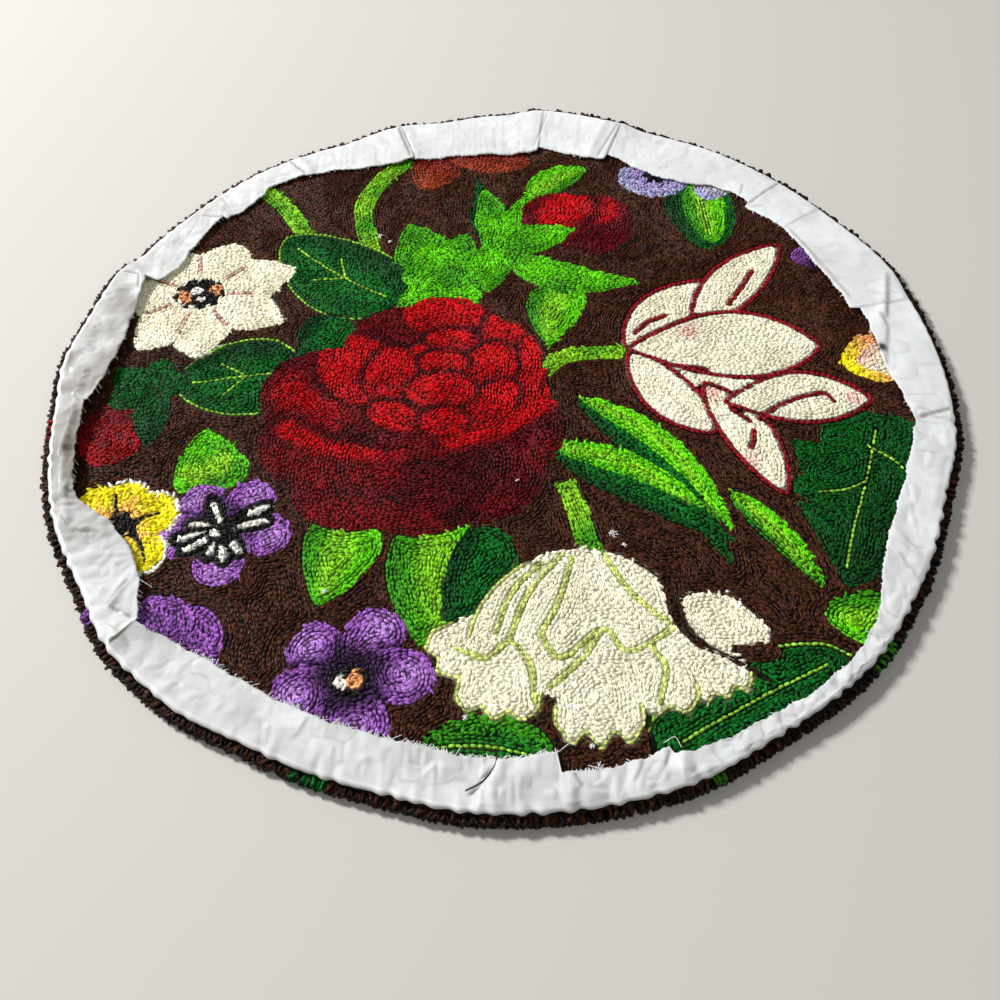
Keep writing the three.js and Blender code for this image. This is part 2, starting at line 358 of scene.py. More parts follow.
# The rosebud over its green cup.
fill(petal(54, 124, 63, 70, 62, 0.42, 0.95), "maroon", "shadow", mottle)
fill(petal(50, 140, 104, 52, 58, 0.42, 0.95), "maroon")
stain(petal(34, 152, 54, 54, 34, 0.45, 0.9), "scarlet", 1.0, 6)
stain(petal(72, 156, 60, 32, 22, 0.45, 0.9), "scarlet", 0.8, 6)
stain(band([(74, 190), (74, 168), (60, 150)], 7), "shadow", 0.8, 5)
for x, y, aim, length, width, bend in ((2, 130, 20, 58, 32, 0), (2, 118, -15, 104, 32, -10)):
    fill(petal(x, y, aim, length, width, 0.8, 0.7, bend), "grass", "moss", mottle)

# The pale open flower with the dark eye.
for aim, length, width in (
    (182, 58, 46), (132, 56, 48), (238, 66, 44), (66, 58, 46), (278, 64, 48), (336, 70, 44), (22, 72, 46),
):
    fill(petal(-219, 79, aim, length, width, 0.78, 0.95), "cream", "oat", mottle)
for aim in (2, 44, 98, 308, 258, 210, 156):
    a = math.radians(aim)
    line([(-219 + r * math.cos(a), 79 + r * math.sin(a)) for r in (21, 30, 40)], "blush", 12)
fill(bloom(-219, 79, 19, 9, 0.2, 0, 0.85), "ink")
for x, y, size, yarn in (
    (-222, 82, 5, "snow"), (-208, 84, 6, "peach"), (-229, 76, 6, "peach"), (-217, 74, 3, "snow")
):
    fill(bloom(x, y, size, 4, 0.35, 20), yarn)

# The dark bud at the left, half under the hem.
fill(petal(-250, -22, 262, 56, 46, 0.5, 0.9), "crimson", "maroon", fade(-250, -60, -256, -30))
for x, y, aim, length, width in ((-240, -14, 208, 26, 22), (-234, -8, 274, 50, 25)):
    fill(petal(x, y, aim, length, width, 0.6, 0.8), "fern", "pine", fade(-250, 10, -225, -50))


def pansy(x, y, radius, turn, throat, rays, eye):
    """Five round petals edged in plum, a dark throat, and a small eye.

    Where it has rays, they are pale with black edges."""
    for aim, share in ((128, 0.94), (52, 1.0), (188, 1.0), (-12, 1.02), (268, 1.0)):
        a = math.radians(aim + turn)
        stain(petal(x, y, aim + turn, share * radius + 3, 0.8 * radius + 6, 0.42, 1.4), "plum", 1.0, 2)
        deep = rim_fade(x, y, 0.6 * radius, 0.2 * radius)
        fill(petal(x, y, aim + turn, share * radius, 0.77 * radius, 0.42, 1.4), "violet", "plum", deep)
        light = (x + 0.74 * radius * math.cos(a), y + 0.74 * radius * math.sin(a))
        stain(bloom(*light, 0.22 * radius, 4, 0.3, aim), "orchid", 0.7, 5)
    stain(bloom(x, y, 0.5 * radius, 5, 0.4, turn + 20), "ink", throat, 5)
    for aim, length in rays:
        outline = petal(x, y, aim, length, 8.4, 0.42, 1.4, 0, 20)
        fill(outline, "snow")
        line(outline, "ink", smooth=False, rows=2)
    fill(bloom(x, y - 0.04 * radius, 0.24 * radius, 5, 0.3, turn), "ink")
    fill(bloom(x - 0.12 * radius, y - 0.06 * radius, 0.1 * radius, 4, 0.3, turn), "snow")
    fill(bloom(x + 0.05 * radius, y - 0.04 * radius, 0.13 * radius, 4, 0.3, turn), eye)


# Aim and length of each ray, and of each yellow petal.
PALE_RAYS = (
    (116, 27), (36, 34), (14, 30), (170, 24), (196, 32), (216, 30), (252, 24), (278, 26), (306, 24),
)
pansy(-170, -124, 41, 4, 0.5, PALE_RAYS, "ink")
pansy(-84, -222, 46, 14, 0.75, (), "peach")
YELLOW_PETALS = ((200, 40), (146, 36), (-52, 41), (92, 31), (22, 35))
for aim, length in YELLOW_PETALS[2:]:
    fill(petal(-234, -120, aim, length + 2, 32, 0.42, 1.35), "snow")
for aim, length in YELLOW_PETALS:
    stain(petal(-234, -120, aim, length - 9, 33, 0.42, 1.2), "peach", 0.7, 2)
    fill(petal(-234, -120, aim, length, 31, 0.42, 1.35), "yellow", "peach", rim_fade(-234, -120, 20, 6))
fill(bloom(-232, -121, 11, 6, 0.5, 20), "ink")
for run in (
    [(-236, -114), (-240, -106), (-241, -98)], [(-226, -118), (-218, -114), (-212, -112)],
    [(-226, -126), (-219, -134), (-214, -146)]
):
    line(run, "ink", 12)
for aim, length, width in ((34, 46, 44), (86, 42, 40), (140, 44, 38), (340, 44, 38)):
    fill(petal(-200, -212, aim, length, width, 0.42, 1.1), "violet", "plum", rim_fade(-200, -212, 34, 6))

# The nodding cream bell: a cap, five cut petals and one at the side, with lime lines between them.
# Ground yarn runs along the soft crease beside it.
fill(petal(47, -146, 270, 90, 116, 0.4, 0.9), "cream", "oat", mottle)
for x, y, aim, length, width, teeth, deep in (
    (22, -180, 207, 66, 32, 2, 5), (104, -178, 284, 57, 48, 4, 6), (6, -182, 261, 62, 46, 3, 6),
    (84, -184, 278, 58, 36, 2, 6), (52, -180, 271, 78, 48, 3, 9),
):
    outline = toothed(x, y, aim, length, width, teeth, deep)
    fill(outline, "cream", "oat", mottle)
    line(outline[13:-13], "lime", smooth=False)
CAP_MIDDLE, CAP_TOP, CAP_HIGH, CAP_HALF = 47, -137, 74, 67
down = np.linspace(0, 1, 24)
cap_half = CAP_HALF * np.sin(0.5 * math.pi * down**0.6)
cap_left = np.stack([CAP_MIDDLE - cap_half, CAP_TOP - CAP_HIGH * down], 1)
cap_right = np.stack([CAP_MIDDLE + cap_half, CAP_TOP - CAP_HIGH * down], 1)
fill(np.vstack([cap_left, cap_right[::-1]]), "cream", "oat", mottle)
line(cap_left[3:20], "lime", smooth=False)
for run in (
    [(24, -148), (6, -168), (-4, -196)], [(36, -142), (16, -168), (4, -200)],
    [(42, -144), (34, -172), (22, -196)], [(62, -143), (76, -168), (98, -190)],
    [(-26, -204), (-8, -210), (4, -200), (16, -214), (18, -236)],
    [(22, -196), (34, -210), (58, -192), (72, -206), (98, -192)],
    [(58, -192), (44, -212), (26, -228)], [(84, -202), (92, -216), (86, -238)],
):
    line(run, "lime", 30, rows=2)
fill(petal(101, -178, -22, 57, 36, 0.62, 0.85), "cream", "oat", mottle)
fill(np.array([(130, -203), (146, -201), (160, -203), (156, -212), (138, -214)]), "earth")
fill(band([(98, -158), (102, -184), (113, -201), (131, -211), (149, -224)], 10, 0.2), "earth")

# The pale lily with wine outlines.
LILY = [
    # foot, aim, length, width, point, bend, where it is widest
    (88, 26, 44, 94, 38, 0.6, 6, 0.9), (137, 46, 50, 112, 38, 0.7, 3, 0.95),
    (89, 24, -55, 88, 36, 0.6, -4, 1.1), (138, -6, -66, 100, 33, 0.7, 4, 0.95),
    (150, -22, 1, 98, 44, 0.75, 3, 1.15), (88, 26, 1, 134, 62, 0.7, 3, 1.25),
]
fill(petal(94, 18, -29, 100, 48, 0.6, 1.0), "cream", "oat", mottle)
for x, y, aim, length, width, tip, bend, fat in LILY:
    outline = petal(x, y, aim, length, width, tip, fat, bend, 60)
    fill(outline, "cream", "oat", mottle)
    line(np.vstack([outline, outline[:1]]), "wine", smooth=False, rows=2)
for run in (
    [(93, 39), (104, 51), (118, 58)], [(163, 68), (174, 84), (186, 104)], [(112, 11), (126, 9), (141, 7)],
    [(169, -37), (192, -22), (216, -15), (223, -23)], [(152, -27), (158, -33), (164, -40)],
    [(165, -46), (164, -55), (161, -62)],
):
    line(run, "wine", 24, rows=2)
for x, y, size in ((140, -14, 9), (132, 42, 8), (236, -19, 7), (160, -72, 6)):
    stain(bloom(x, y, size, 5, 0.3, 10), "blush", 0.7, 4)

# Small flowers and buds that the hem partly hides.
for aim, length, width in ((200, 30, 32), (250, 28, 32), (300, 28, 32), (340, 30, 32), (90, 30, 40)):
    fill(petal(122, 214, aim, length, width, 0.42, 1.1), "lilac", "violet", rim_fade(122, 214, 24, -10))
fill(bloom(122, 212, 9, 5, 0.5, 20), "ink")
fill(petal(178, 212, 230, 34, 28, 0.45, 1.0), "lilac", "snow", fade(160, 190, 176, 210))
fill(petal(-46, 242, 252, 50, 40, 0.6, 0.75), "rust", "maroon", fade(-58, 196, -46, 236))
fill(petal(-42, 238, -8, 66, 34, 0.5, 0.9), "rust", "maroon", fade(-10, 216, -10, 246))
fill(petal(240, 118, 180, 24, 24, 0.5, 0.9), "violet", "plum", fade(218, 126, 226, 108))
fill(petal(280, 20, 190, 48, 46, 0.7, 0.8), "yellow", "peach", fade(240, 10, 262, 20))
fill(petal(284, 18, 186, 40, 32, 0.7, 0.8), "blush", "oat", fade(246, 20, 262, 10))

# The last rounds are ground yarn again, but for a few loops of colour at the rim.
LAST_ROUNDS, ROUND_X, ROUND_Y = 288, 3.8, 0.9
outermost = np.hypot(plan_line[None, :] - ROUND_X, plan_line[:, None] - ROUND_Y) > LAST_ROUNDS
dyed[outermost], family[outermost], region[outermost] = YARN["earth"][1], GROUND, 0
for angle, size, yarn in (
    (188, 8, "crimson"), (217, 6, "violet"), (250, 12, "fern"), (292, 5, "moss"), (316, 10, "moss")
):
    a = math.radians(angle)
    fill(bloom(300 * math.cos(a), 300 * math.sin(a), size, 5, 0.2), yarn)

# The foundation cloth: one round of plain white cotton that carries the yarn. Its margin is turned
# round the rim to the back and lies there unsewn, in flaps and tucks with a raw inner edge.
MM = 0.001
HEM_MIDDLE = (3.84, 0.87)
HEM_FLAPS = np.array([
    # from, fold, start, middle, end, tuck, lift
    (1, 298.5, 258, 259, 260, 0, 0.6), (13.8, 299.5, 252, 252.5, 253, 1.2, 1),
    (19.5, 302.5, 253, 253, 258.5, 0, 1), (35, 297, 257, 255, 253, 0.6, 0.4),
    (43, 296.5, 257, 258.5, 252, 1, 0.4), (52, 295.5, 251, 241.5, 245, 0, 0.4),
    (66.5, 291, 245, 248.5, 251, 0, 0.2), (71, 296, 242, 242.5, 248, 1.2, 0.2),
    (84, 299, 243, 237, 236, 1, 0.2), (91, 290, 236, 237, 238, 0, 0.2),
    (101, 285, 238, 238.5, 241, 0, 0.2), (108, 289, 242, 243, 248, 1.6, 0.5),
    (118, 283.5, 248.5, 252.5, 257, 0, 0.3), (123, 286, 257, 260, 263, 0, 0.3),
    (127.5, 289, 262, 267, 269, 1, 0.4), (134, 291.5, 269, 263, 266, 0, 0.6),
    (144, 292.5, 269, 266.5, 262.5, 1.4, 0.8), (156, 295.5, 262.5, 264, 270, 0, 1),
    (161, 303.5, 278, 273, 269.5, 1.8, 2.4), (169, 302.5, 269.5, 267.5, 268, 0, 3),
    (178, 305.5, 268, 272, 278, 0.6, 4), (186, 302, 279, 284, 287, 1, 6.5),
    (202, 304, 286, 271, 267, 1, 4), (213, 302, 267, 272, 286, 0, 2.5),
    (222, 306.5, 286, 278, 273, 2.2, 2), (231, 304, 273, 270, 269, 0, 1.2),
    (243, 297.5, 269, 268, 267, 0, 0.8), (256, 296, 267, 268, 271, 0, 0.6),
    (267, 299, 271, 270, 267, 1.2, 0.8), (275.5, 299, 279, 280.5, 277, 1, 0.8),
    (288, 299, 282, 284, 283.5, 1.2, 0.8), (300, 295, 283.5, 286.5, 286, 0, 0.5),
    (314, 296.5, 286.5, 280, 268, 0, 0.6), (326, 293.5, 268.5, 264.5, 265, 0.8, 0.8),
    (339, 291.5, 265, 267, 271, 0, 0.8), (351, 297.5, 270, 265, 259, 1, 0.8),
])
CLOTH_LOW, CLOTH = 7.3, 0.8
FOLD_OUT = 2.3
TUCK_FADE = 6.0


def hem_at(degrees):
    """Fold radius, raw edge radius, tuck height and edge lift of the hem at each angle."""
    swept = (degrees - HEM_FLAPS[0, 0]) % 360 + HEM_FLAPS[0, 0]
    k = np.searchsorted(HEM_FLAPS[:, 0], swept, "right") - 1
    here, after = HEM_FLAPS[k], HEM_FLAPS[(k + 1) % len(HEM_FLAPS)]
    past = swept - here[:, 0]
    t = past / ((after[:, 0] - here[:, 0]) % 360)
    fold = here[:, 1] + (after[:, 1] - here[:, 1]) * t * t * (3 - 2 * t)
    edge = here[:, 2] * (1 - t) * (1 - 2 * t) + here[:, 3] * 4 * t * (1 - t) + here[:, 4] * t * (2 * t - 1)
    tuck = here[:, 5] * np.clip(1 - past / TUCK_FADE, 0, 1)
    lift = here[:, 6] + (after[:, 6] - here[:, 6]) * t
    return fold, edge, tuck, lift


HEM_CREASES = [
    # angle and radius at one end, at the other, height of the upper ply, depth of the shadow line
    (1.5, 259, 9, 272, 0.5, 0.6), (9, 272, 12, 271, 0.4, 0.6), (11, 275, 19, 296, 0.7, 0.7),
    (16, 257, 24, 256.5, 0.4, 0.5), (24, 256.5, 34, 261, 0.4, 0.5), (41, 264, 42, 256, 0.3, 0.4),
    (46.5, 272, 45.3, 261, 0.5, 0.6), (71.2, 296, 72.4, 243, 0.6, 0.7), (83, 297, 84.6, 248, 0.6, 0.5),
    (92, 272, 92, 240, 0.2, 0.25), (108.3, 288, 108.4, 245, 0.9, 0.9), (120.5, 280, 121.6, 258, 0.2, 0.3),
    (127.6, 288, 127.2, 264, 0.7, 0.7), (140.5, 290, 142.2, 268, 0.8, 0.5),
    (145.8, 284, 144.2, 269, 0.5, 0.6), (146, 284, 151, 277, 0.5, 0.5), (151, 277, 157, 271, 0.5, 0.5),
    (160.6, 302, 160.9, 284, 1.0, 0.9), (160.9, 284, 163.4, 278, 0.9, 0.8),
    (166.5, 303, 169, 296, 0.4, 0.4), (181.5, 302, 183.4, 293, 0.6, 0.6),
    (183.4, 293, 186.6, 281, 0.8, 0.8), (187.6, 288, 193, 295, 1.0, 0.6),
    (193, 295, 200, 296.5, 1.2, 0.6), (200, 296.5, 201.4, 300, 0.8, 0.8),
    (203, 298.5, 206, 294, 0.8, 0.7), (206, 294, 208, 277, 0.8, 0.7), (216, 276, 217.6, 293, 0.8, 0.8),
    (217.6, 293, 221, 286, 0.8, 0.7), (222.3, 304, 222, 286, 1.2, 1.0), (228, 300, 229, 280, 0.3, 0.3),
    (246, 292, 246.6, 270, 0.3, 0.25), (266, 290, 268.2, 276, 0.7, 0.7),
    (277.6, 288, 276.9, 280, 0.6, 0.6), (283, 290, 284.6, 281, 0.4, 0.4),
    (286.5, 287, 288.2, 277, 0.5, 0.5), (327, 284, 328.6, 274, 0.4, 0.4),
    (346, 286, 345.8, 270, 0.3, 0.3), (351.5, 273, 354, 296, 0.7, 0.7),
]
PUCKERS = np.array([
    # angle, how much the fold is gathered there
    (0, 0.15), (50, 0.15), (110, 0.22), (160, 0.28), (185, 0.45), (215, 0.5), (240, 0.35), (262, 0.6),
    (300, 0.65), (342, 0.6), (360, 0.15),
])
HEM_ROLLS = [
    # angle and radius at one end, at the other, height and half width of a rolled or pushed-up place
    (180, 286, 187, 288, 2.0, 4.0), (187, 288, 193, 291, 2.6, 4.5), (193, 291, 200, 292, 2.6, 4.5),
    (200, 292, 204, 296, 1.8, 3.5), (206, 290, 208, 278, 1.6, 3.0), (216, 278, 218, 291, 1.6, 3.0),
    (222, 300, 222, 288, 1.5, 3.5), (159, 300, 161, 280, 1.6, 4.0), (143, 288, 143, 270, 1.2, 3.5),
    (126, 286, 126, 266, 1.0, 3.5), (107, 286, 107, 248, 1.0, 4.0), (73.5, 292, 74, 248, 0.9, 4.0),
    (268, 288, 269, 274, 1.2, 3.0), (288, 292, 289, 284, 1.2, 3.0), (352, 288, 353, 272, 0.9, 4.0),
    (10, 268, 18, 292, 0.9, 4.0),
]
GREYED = np.array([
    # angle, how much greyer the cloth is drawn there
    (0, 0.03), (118, 0.05), (130, 0.2), (150, 0.38), (160, 0.5), (166, 0.8), (186, 1.0), (203, 0.9),
    (212, 0.45), (235, 0.28), (262, 0.34), (284, 0.24), (298, 0.06), (330, 0.04), (345, 0.1), (360, 0.03),
])
STATIONS, COLUMNS = 1800, 22

angles = np.arange(STATIONS) * 360.0 / STATIONS
fold, edge, tuck, lift = hem_at(angles)
theta = np.radians(angles)
gather = (
    0.5 * np.sin(163 * theta + 3 * np.sin(7 * theta)) + 0.4 * np.sin(131 * theta + 2 * np.sin(5 * theta))
    + 0.3 * np.sin(227 * theta + 0.4)
)
gather *= np.interp(angles, PUCKERS[:, 0], PUCKERS[:, 1])
axis = fold - FOLD_OUT + 0.9 * gather
ragged = (
    0.3 * np.sin(131 * theta + 3 * np.sin(11 * theta)) + 0.25 * np.sin(401 * theta)
    + 0.5 * np.sin(61 * theta + 3 * np.sin(5 * theta))
)
edge = edge + ragged


def on_plan(degrees, radius):
    """Plan place of an angle and radius on the hem's own middle."""
    a = np.radians(degrees)
    return HEM_MIDDLE[0] + radius * np.cos(a), HEM_MIDDLE[1] + radius * np.sin(a)


def crumple(px, py, wave, seed):
    """Uneven rise and fall of a handled cloth, from -1 to 1, over that many millimetres."""
    spots = np.random.default_rng(seed).uniform(-1, 1, (256, 256))
    u, v = px / wave + 128, py / wave + 128
    i, j = np.floor(u).astype(int), np.floor(v).astype(int)
    f, g = u - i, v - j
    f, g = f * f * (3 - 2 * f), g * g * (3 - 2 * g)
    left = spots[i % 256, j % 256] * (1 - g) + spots[i % 256, (j + 1) % 256] * g
    right = spots[(i + 1) % 256, j % 256] * (1 - g) + spots[(i + 1) % 256, (j + 1) % 256] * g
    return left * (1 - f) + right * f


def off_line(px, py, xa, ya, xb, yb):
    """The share of a straight line at which it comes nearest to each place, and how far off that is."""
    t = np.clip(((px - xa) * (xb - xa) + (py - ya) * (yb - ya)) / ((xb - xa) ** 2 + (yb - ya) ** 2), 0, 1)
    return t, np.hypot(px - xa - t * (xb - xa), py - ya - t * (yb - ya))


# The height of the hem from its fold to its raw edge: tucks and lift first, then the gathered fold,
# crumples, creases and rolls.
share = np.linspace(0, 1, COLUMNS + 1)[1:]
across = axis[:, None] + (edge - axis)[:, None] * share
x, y = on_plan(angles[:, None], across)
slack = 0.35 * np.sin(19 * theta + 1)[:, None] + 0.25 * np.sin(43 * theta)[:, None]
fold_height = CLOTH_LOW + FOLD_OUT
hem_flat = fold_height + FOLD_OUT
top = hem_flat + tuck[:, None] + lift[:, None] * share**2 + 0.8 * (slack + 0.3) * np.sin(math.pi * share)
top += 1.3 * gather[:, None] * np.exp(-(axis[:, None] - across) / 5.5)
greyed = np.interp(angles, GREYED[:, 0], GREYED[:, 1])[:, None]
handled = (np.interp(angles, PUCKERS[:, 0], PUCKERS[:, 1])[:, None] + 0.7 * greyed) * np.clip(6 * share, 0, 1)
wrinkle = (
    0.6 * crumple(x, y, 17, 3) + 0.9 * np.abs(crumple(x, y, 12, 4)) + 0.5 * np.abs(crumple(x, y, 6, 5))
    - 0.4
)
top += 1.1 * wrinkle * (0.35 * np.clip(6 * share, 0, 1) + handled)
top += (0.9 * np.abs(crumple(x, y, 4.5, 8)) - 0.3) * (0.15 * np.clip(6 * share, 0, 1) + handled)
# Fine crease lines along the crumples, dimmed as painted shade.
fine = np.exp(-((crumple(x, y, 12, 4) / 0.12) ** 2)) * np.clip(crumple(x, y, 25, 7) + 0.4, 0, 1)
creased = fine * (0.12 + 0.5 * handled)
for a0, r0, a1, r1, step, groove in HEM_CREASES:
    (xa, ya), (xb, yb) = on_plan(a0, r0), on_plan(a1, r1)
    length = math.hypot(xb - xa, yb - ya)
    t = ((x - xa) * (xb - xa) + (y - ya) * (yb - ya)) / length**2
    off = ((x - xa) * (ya - yb) + (y - ya) * (xb - xa)) / length
    near = np.clip(1.0 - (np.abs(t - 0.5) - 0.42) / 0.16, 0, 1)
    over = np.clip(off / 1.5, 0, 1) * np.exp(-np.clip(off, 0, None) / 8.0)
    notch = np.exp(-((off / 1.3) ** 2))
    top += near * (1.3 * step * over - 0.6 * groove * notch)
    # Painted shade: the cloth colour is dimmed along each groove.
    creased = np.maximum(creased, near * groove * notch)
for a0, r0, a1, r1, rise, wide in HEM_ROLLS:
    (xa, ya), (xb, yb) = on_plan(a0, r0), on_plan(a1, r1)
    _, off = off_line(x, y, xa, ya, xb, yb)
    top += rise * np.exp(-((off / wide) ** 2))
# The turned-under strip at the near left is dimmed as painted shade, and the cloth greyed in blotches by
# angle.
DOUBLED_AT, DOUBLED_HALF = 193.5, 9
doubled = np.exp(-(((angles - DOUBLED_AT) / DOUBLED_HALF) ** 4))[:, None] * np.clip(6 * share - 2.6, 0, 1)
creased = np.maximum(creased, np.maximum(0.9 * doubled, greyed * (0.6 + 0.4 * crumple(x, y, 13, 6))))
low = np.maximum(hem_flat - CLOTH + 0.02, top - CLOTH)
top = np.maximum(top, low + 0.35)


def piece(name, points, faces, **values):
    """A mesh from points in millimetres, with a value or a colour for each point."""
    mesh = bpy.data.meshes.new(name)
    mesh.from_pydata(np.asarray(points) * MM, [], faces)
    for key, value in values.items():
        value = np.asarray(value, np.float32)
        if value.ndim == 1:
            mesh.attributes.new(key, "FLOAT", "POINT").data.foreach_set("value", value)
        else:
            full = np.concatenate([value, np.ones((len(value), 1), np.float32)], 1)
            mesh.attributes.new(key, "FLOAT_COLOR", "POINT").data.foreach_set("color", full.ravel())
    mesh.shade_smooth()
    made = bpy.data.objects.new(name, mesh)
    bpy.context.scene.collection.objects.link(made)
    return made


def turned(degrees, radius, height):
    """Points and faces of a round, from a section at each angle, closed in the middle below and above."""
    count, columns = radius.shape
    px, py = on_plan(degrees[:, None], radius)
    points = np.stack([px, py, height], -1).reshape(-1, 3)
    middle = [(*HEM_MIDDLE, height[:, 0].mean()), (*HEM_MIDDLE, height[:, -1].mean())]
    s, c = np.meshgrid(np.arange(count), np.arange(columns - 1), indexing="ij")
    after = (s + 1) % count
    here, there = s * columns + c, after * columns + c
    faces = np.stack([here, there, there + 1, here + 1], -1).reshape(-1, 4).tolist()
    for k in range(count):
        n = (k + 1) % count
        faces.append([len(points), n * columns, k * columns])
        faces.append([len(points) + 1, k * columns + columns - 1, n * columns + columns - 1])
    return np.vstack([points, middle]), faces


# A section of the cloth runs round the fold from below, in over the hem to the raw edge, back beneath
# the hem, and round the inside of the fold.
outer_turn = np.linspace(-0.5, 0.5, 7) * math.pi
inner_turn = np.linspace(0.5, -0.5, 5) * math.pi
under = np.arange(COLUMNS - 1, -1, -4)
flat = np.zeros_like(axis)
radius = [axis + (FOLD_OUT + 0.6 * gather) * math.cos(a) for a in outer_turn]
height = [flat + fold_height + (FOLD_OUT + 0.7 * gather) * math.sin(a) for a in outer_turn]
radius += [*across.T, *across[:, under].T] + [axis + (FOLD_OUT - CLOTH) * math.cos(a) for a in inner_turn]
height += (
    [*top.T, *low[:, under].T] + [flat + fold_height + (FOLD_OUT - CLOTH) * math.sin(a) for a in inner_turn]
)
# How much each point of the cloth is dimmed: painted shade on the outer side of the fold, then the painted
# shade and grey of the hem worked out above, and none beneath.
dark = (
    [flat + 0.5 * math.cos(a) ** 2 for a in outer_turn] + [*creased.T]
    + [flat] * (len(under) + len(inner_turn))
)
height[0][:] = CLOTH_LOW
points, faces = turned(angles, np.array(radius).T, np.array(height).T)
dark = np.concatenate([np.array(dark).T.ravel(), [0, 0]])
SPOT_X, SPOT_Y, SPOT_WIDE, SPOT_HIGH = 263.5, 24, 3.4, 4.2
spot = ((points[:, 0] - SPOT_X) / SPOT_WIDE) ** 2 + ((points[:, 1] - SPOT_Y) / SPOT_HIGH) ** 2
spot = np.exp(-(spot**2))
hem = piece("turned_hem_cloth", points, faces, creased=dark, blackened=spot)


def group(name, kind, inputs, outputs):
    """An empty node group with those inputs and outputs, and the nodes at its two ends."""
    tree = bpy.data.node_groups.new(name, kind)
    for way, sockets in (("INPUT", inputs), ("OUTPUT", outputs)):
        for label, socket in sockets.items():
            tree.interface.new_socket(label, in_out=way, socket_type="NodeSocket" + socket)
    return tree, tree.nodes.new("NodeGroupInput"), tree.nodes.new("NodeGroupOutput")


def node(tree, kind, links=(), **settings):
    """A node with its settings, its input values and what feeds them."""
    made = tree.nodes.new(kind)
    for key, value in settings.items():
        setattr(made, key, value)
    for key, value in links:
        if isinstance(value, bpy.types.NodeSocket):
            tree.links.new(value, made.inputs[key])
        else:
            made.inputs[key].default_value = value
    return made


def maths(tree, operation, *values):
    """What comes out of a node of arithmetic on numbers."""
    return node(tree, "ShaderNodeMath", enumerate(values), operation=operation).outputs[0]


def vectors(tree, operation, *values, **named):
    """What comes out of a node of arithmetic on vectors."""
    links = [*enumerate(values), *named.items()]
    made = node(tree, "ShaderNodeVectorMath", links, operation=operation)
    return made.outputs["Value" if operation == "DOT_PRODUCT" else "Vector"]


def mixed(tree, share, first, second):
    """What comes out of a node that goes from one colour to another."""
    links = [("Factor", share), (6, first), (7, second)]
    return node(tree, "ShaderNodeMix", links, data_type="RGBA").outputs[2]


def material(name, roughness, sheen):
    """A material with its Principled shader, ready for colour and bump."""
    made = bpy.data.materials.new(name)
    made.use_nodes = True
    shader = made.node_tree.nodes["Principled BSDF"]
    shader.inputs["Roughness"].default_value = roughness
    shader.inputs["Sheen Weight"].default_value = sheen
    shader.inputs["Specular IOR Level"].default_value = 0.2
    return made, made.node_tree, shader


def bumped(tree, shader, height, strength, distance):
    """Lets a height show as fine relief."""
    links = [("Height", height), ("Strength", strength), ("Distance", distance)]
    tree.links.new(node(tree, "ShaderNodeBump", links).outputs[0], shader.inputs["Normal"])


def weave_group():
    """Plain weave: threads over and under in two directions, with slubs, and blots of soil."""
    tree, given, out = group(
        "Plain weave", "ShaderNodeTree", {"Place": "Vector", "Threads": "Float"},
        {"Height": "Float", "Soil": "Float"},
    )
    place = given.outputs["Place"]
    wide = vectors(tree, "SCALE", place, Scale=given.outputs["Threads"])
    split = node(tree, "ShaderNodeSeparateXYZ", [(0, wide)])
    warp = maths(tree, "SINE", split.outputs[0])
    weft = maths(tree, "SINE", split.outputs[1])
    over = maths(tree, "MULTIPLY", warp, weft)
    slub = node(tree, "ShaderNodeTexNoise", [("Vector", place), ("Scale", 900.0), ("Detail", 1.0)])
    height = maths(tree, "MULTIPLY_ADD", slub.outputs[0], 1.4, over)
    tree.links.new(height, out.inputs["Height"])
    blot = node(tree, "ShaderNodeTexNoise", [
        ("Vector", place), ("Scale", 26.0), ("Detail", 5.0), ("Roughness", 0.68),
    ])
    soil = node(tree, "ShaderNodeMapRange", [
        ("Value", blot.outputs[0]), ("From Min", 0.36), ("From Max", 0.78),
    ])
    tree.links.new(soil.outputs[0], out.inputs["Soil"])
    return tree


THREAD_PITCH = 0.0014
cotton, tree, shader = material("cotton_cloth", 0.85, 0.15)
place = node(tree, "ShaderNodeTexCoord").outputs["Object"]
weave = node(tree, "ShaderNodeGroup", [
    ("Place", place), ("Threads", 2 * math.pi / THREAD_PITCH),
], node_tree=weave_group())
clean = mixed(tree, weave.outputs["Soil"], (*dye(247, 249, 250), 1), (*dye(218, 219, 217), 1))
# The painted shade and the grey of the cloth dim the white towards a dark grey-brown.
lines = node(tree, "ShaderNodeAttribute", attribute_name="creased")
shaded = mixed(tree, lines.outputs["Fac"], clean, (*dye(126, 118, 108), 1))
mark = node(tree, "ShaderNodeAttribute", attribute_name="blackened")
marked = mixed(tree, mark.outputs["Fac"], shaded, (*dye(22, 20, 20), 1))
tree.links.new(marked, shader.inputs["Base Color"])
bumped(tree, shader, weave.outputs["Height"], 0.6, 0.0003)
hem.data.materials.append(cotton)
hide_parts("foundation_cloth")
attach(hem, "root")

# The back stitches: where the hooked yarn runs from hole to hole along the back. Each shape is
# outlined first and then filled in rows, so the flat stitches follow the outlines inwards.
ROW, STITCH = 2.45, 3.7
BED_LOW, BED_TOP = 8.4, 9.4
# How far the soft crease sinks, and how much painted shade dims the yarn in it.
CREASE_DEPTH, CREASE_PAINTED_SHADE = 0.8, 0.6
# How far from a row a place counts as bare, the length of row that fills it, and how far rows run on
# under the hem.
BARE, LONE_ROW, UNDER_HEM = 1.35, 1.5, 7
# In plan cells: the furthest distances that are worked out, and the room that one stitch takes up.
DEEPEST, NEAR, TAKEN_UP, TAKEN_ACROSS = 150, 12, 4, 5
CREASE = np.array([
    # x, y, half width of the soft crease beside the bell
    (98, -160, 2.5), (103, -186, 4.5), (114, -202, 3.5), (132, -211, 2.0), (150, -225, 1.0),
])


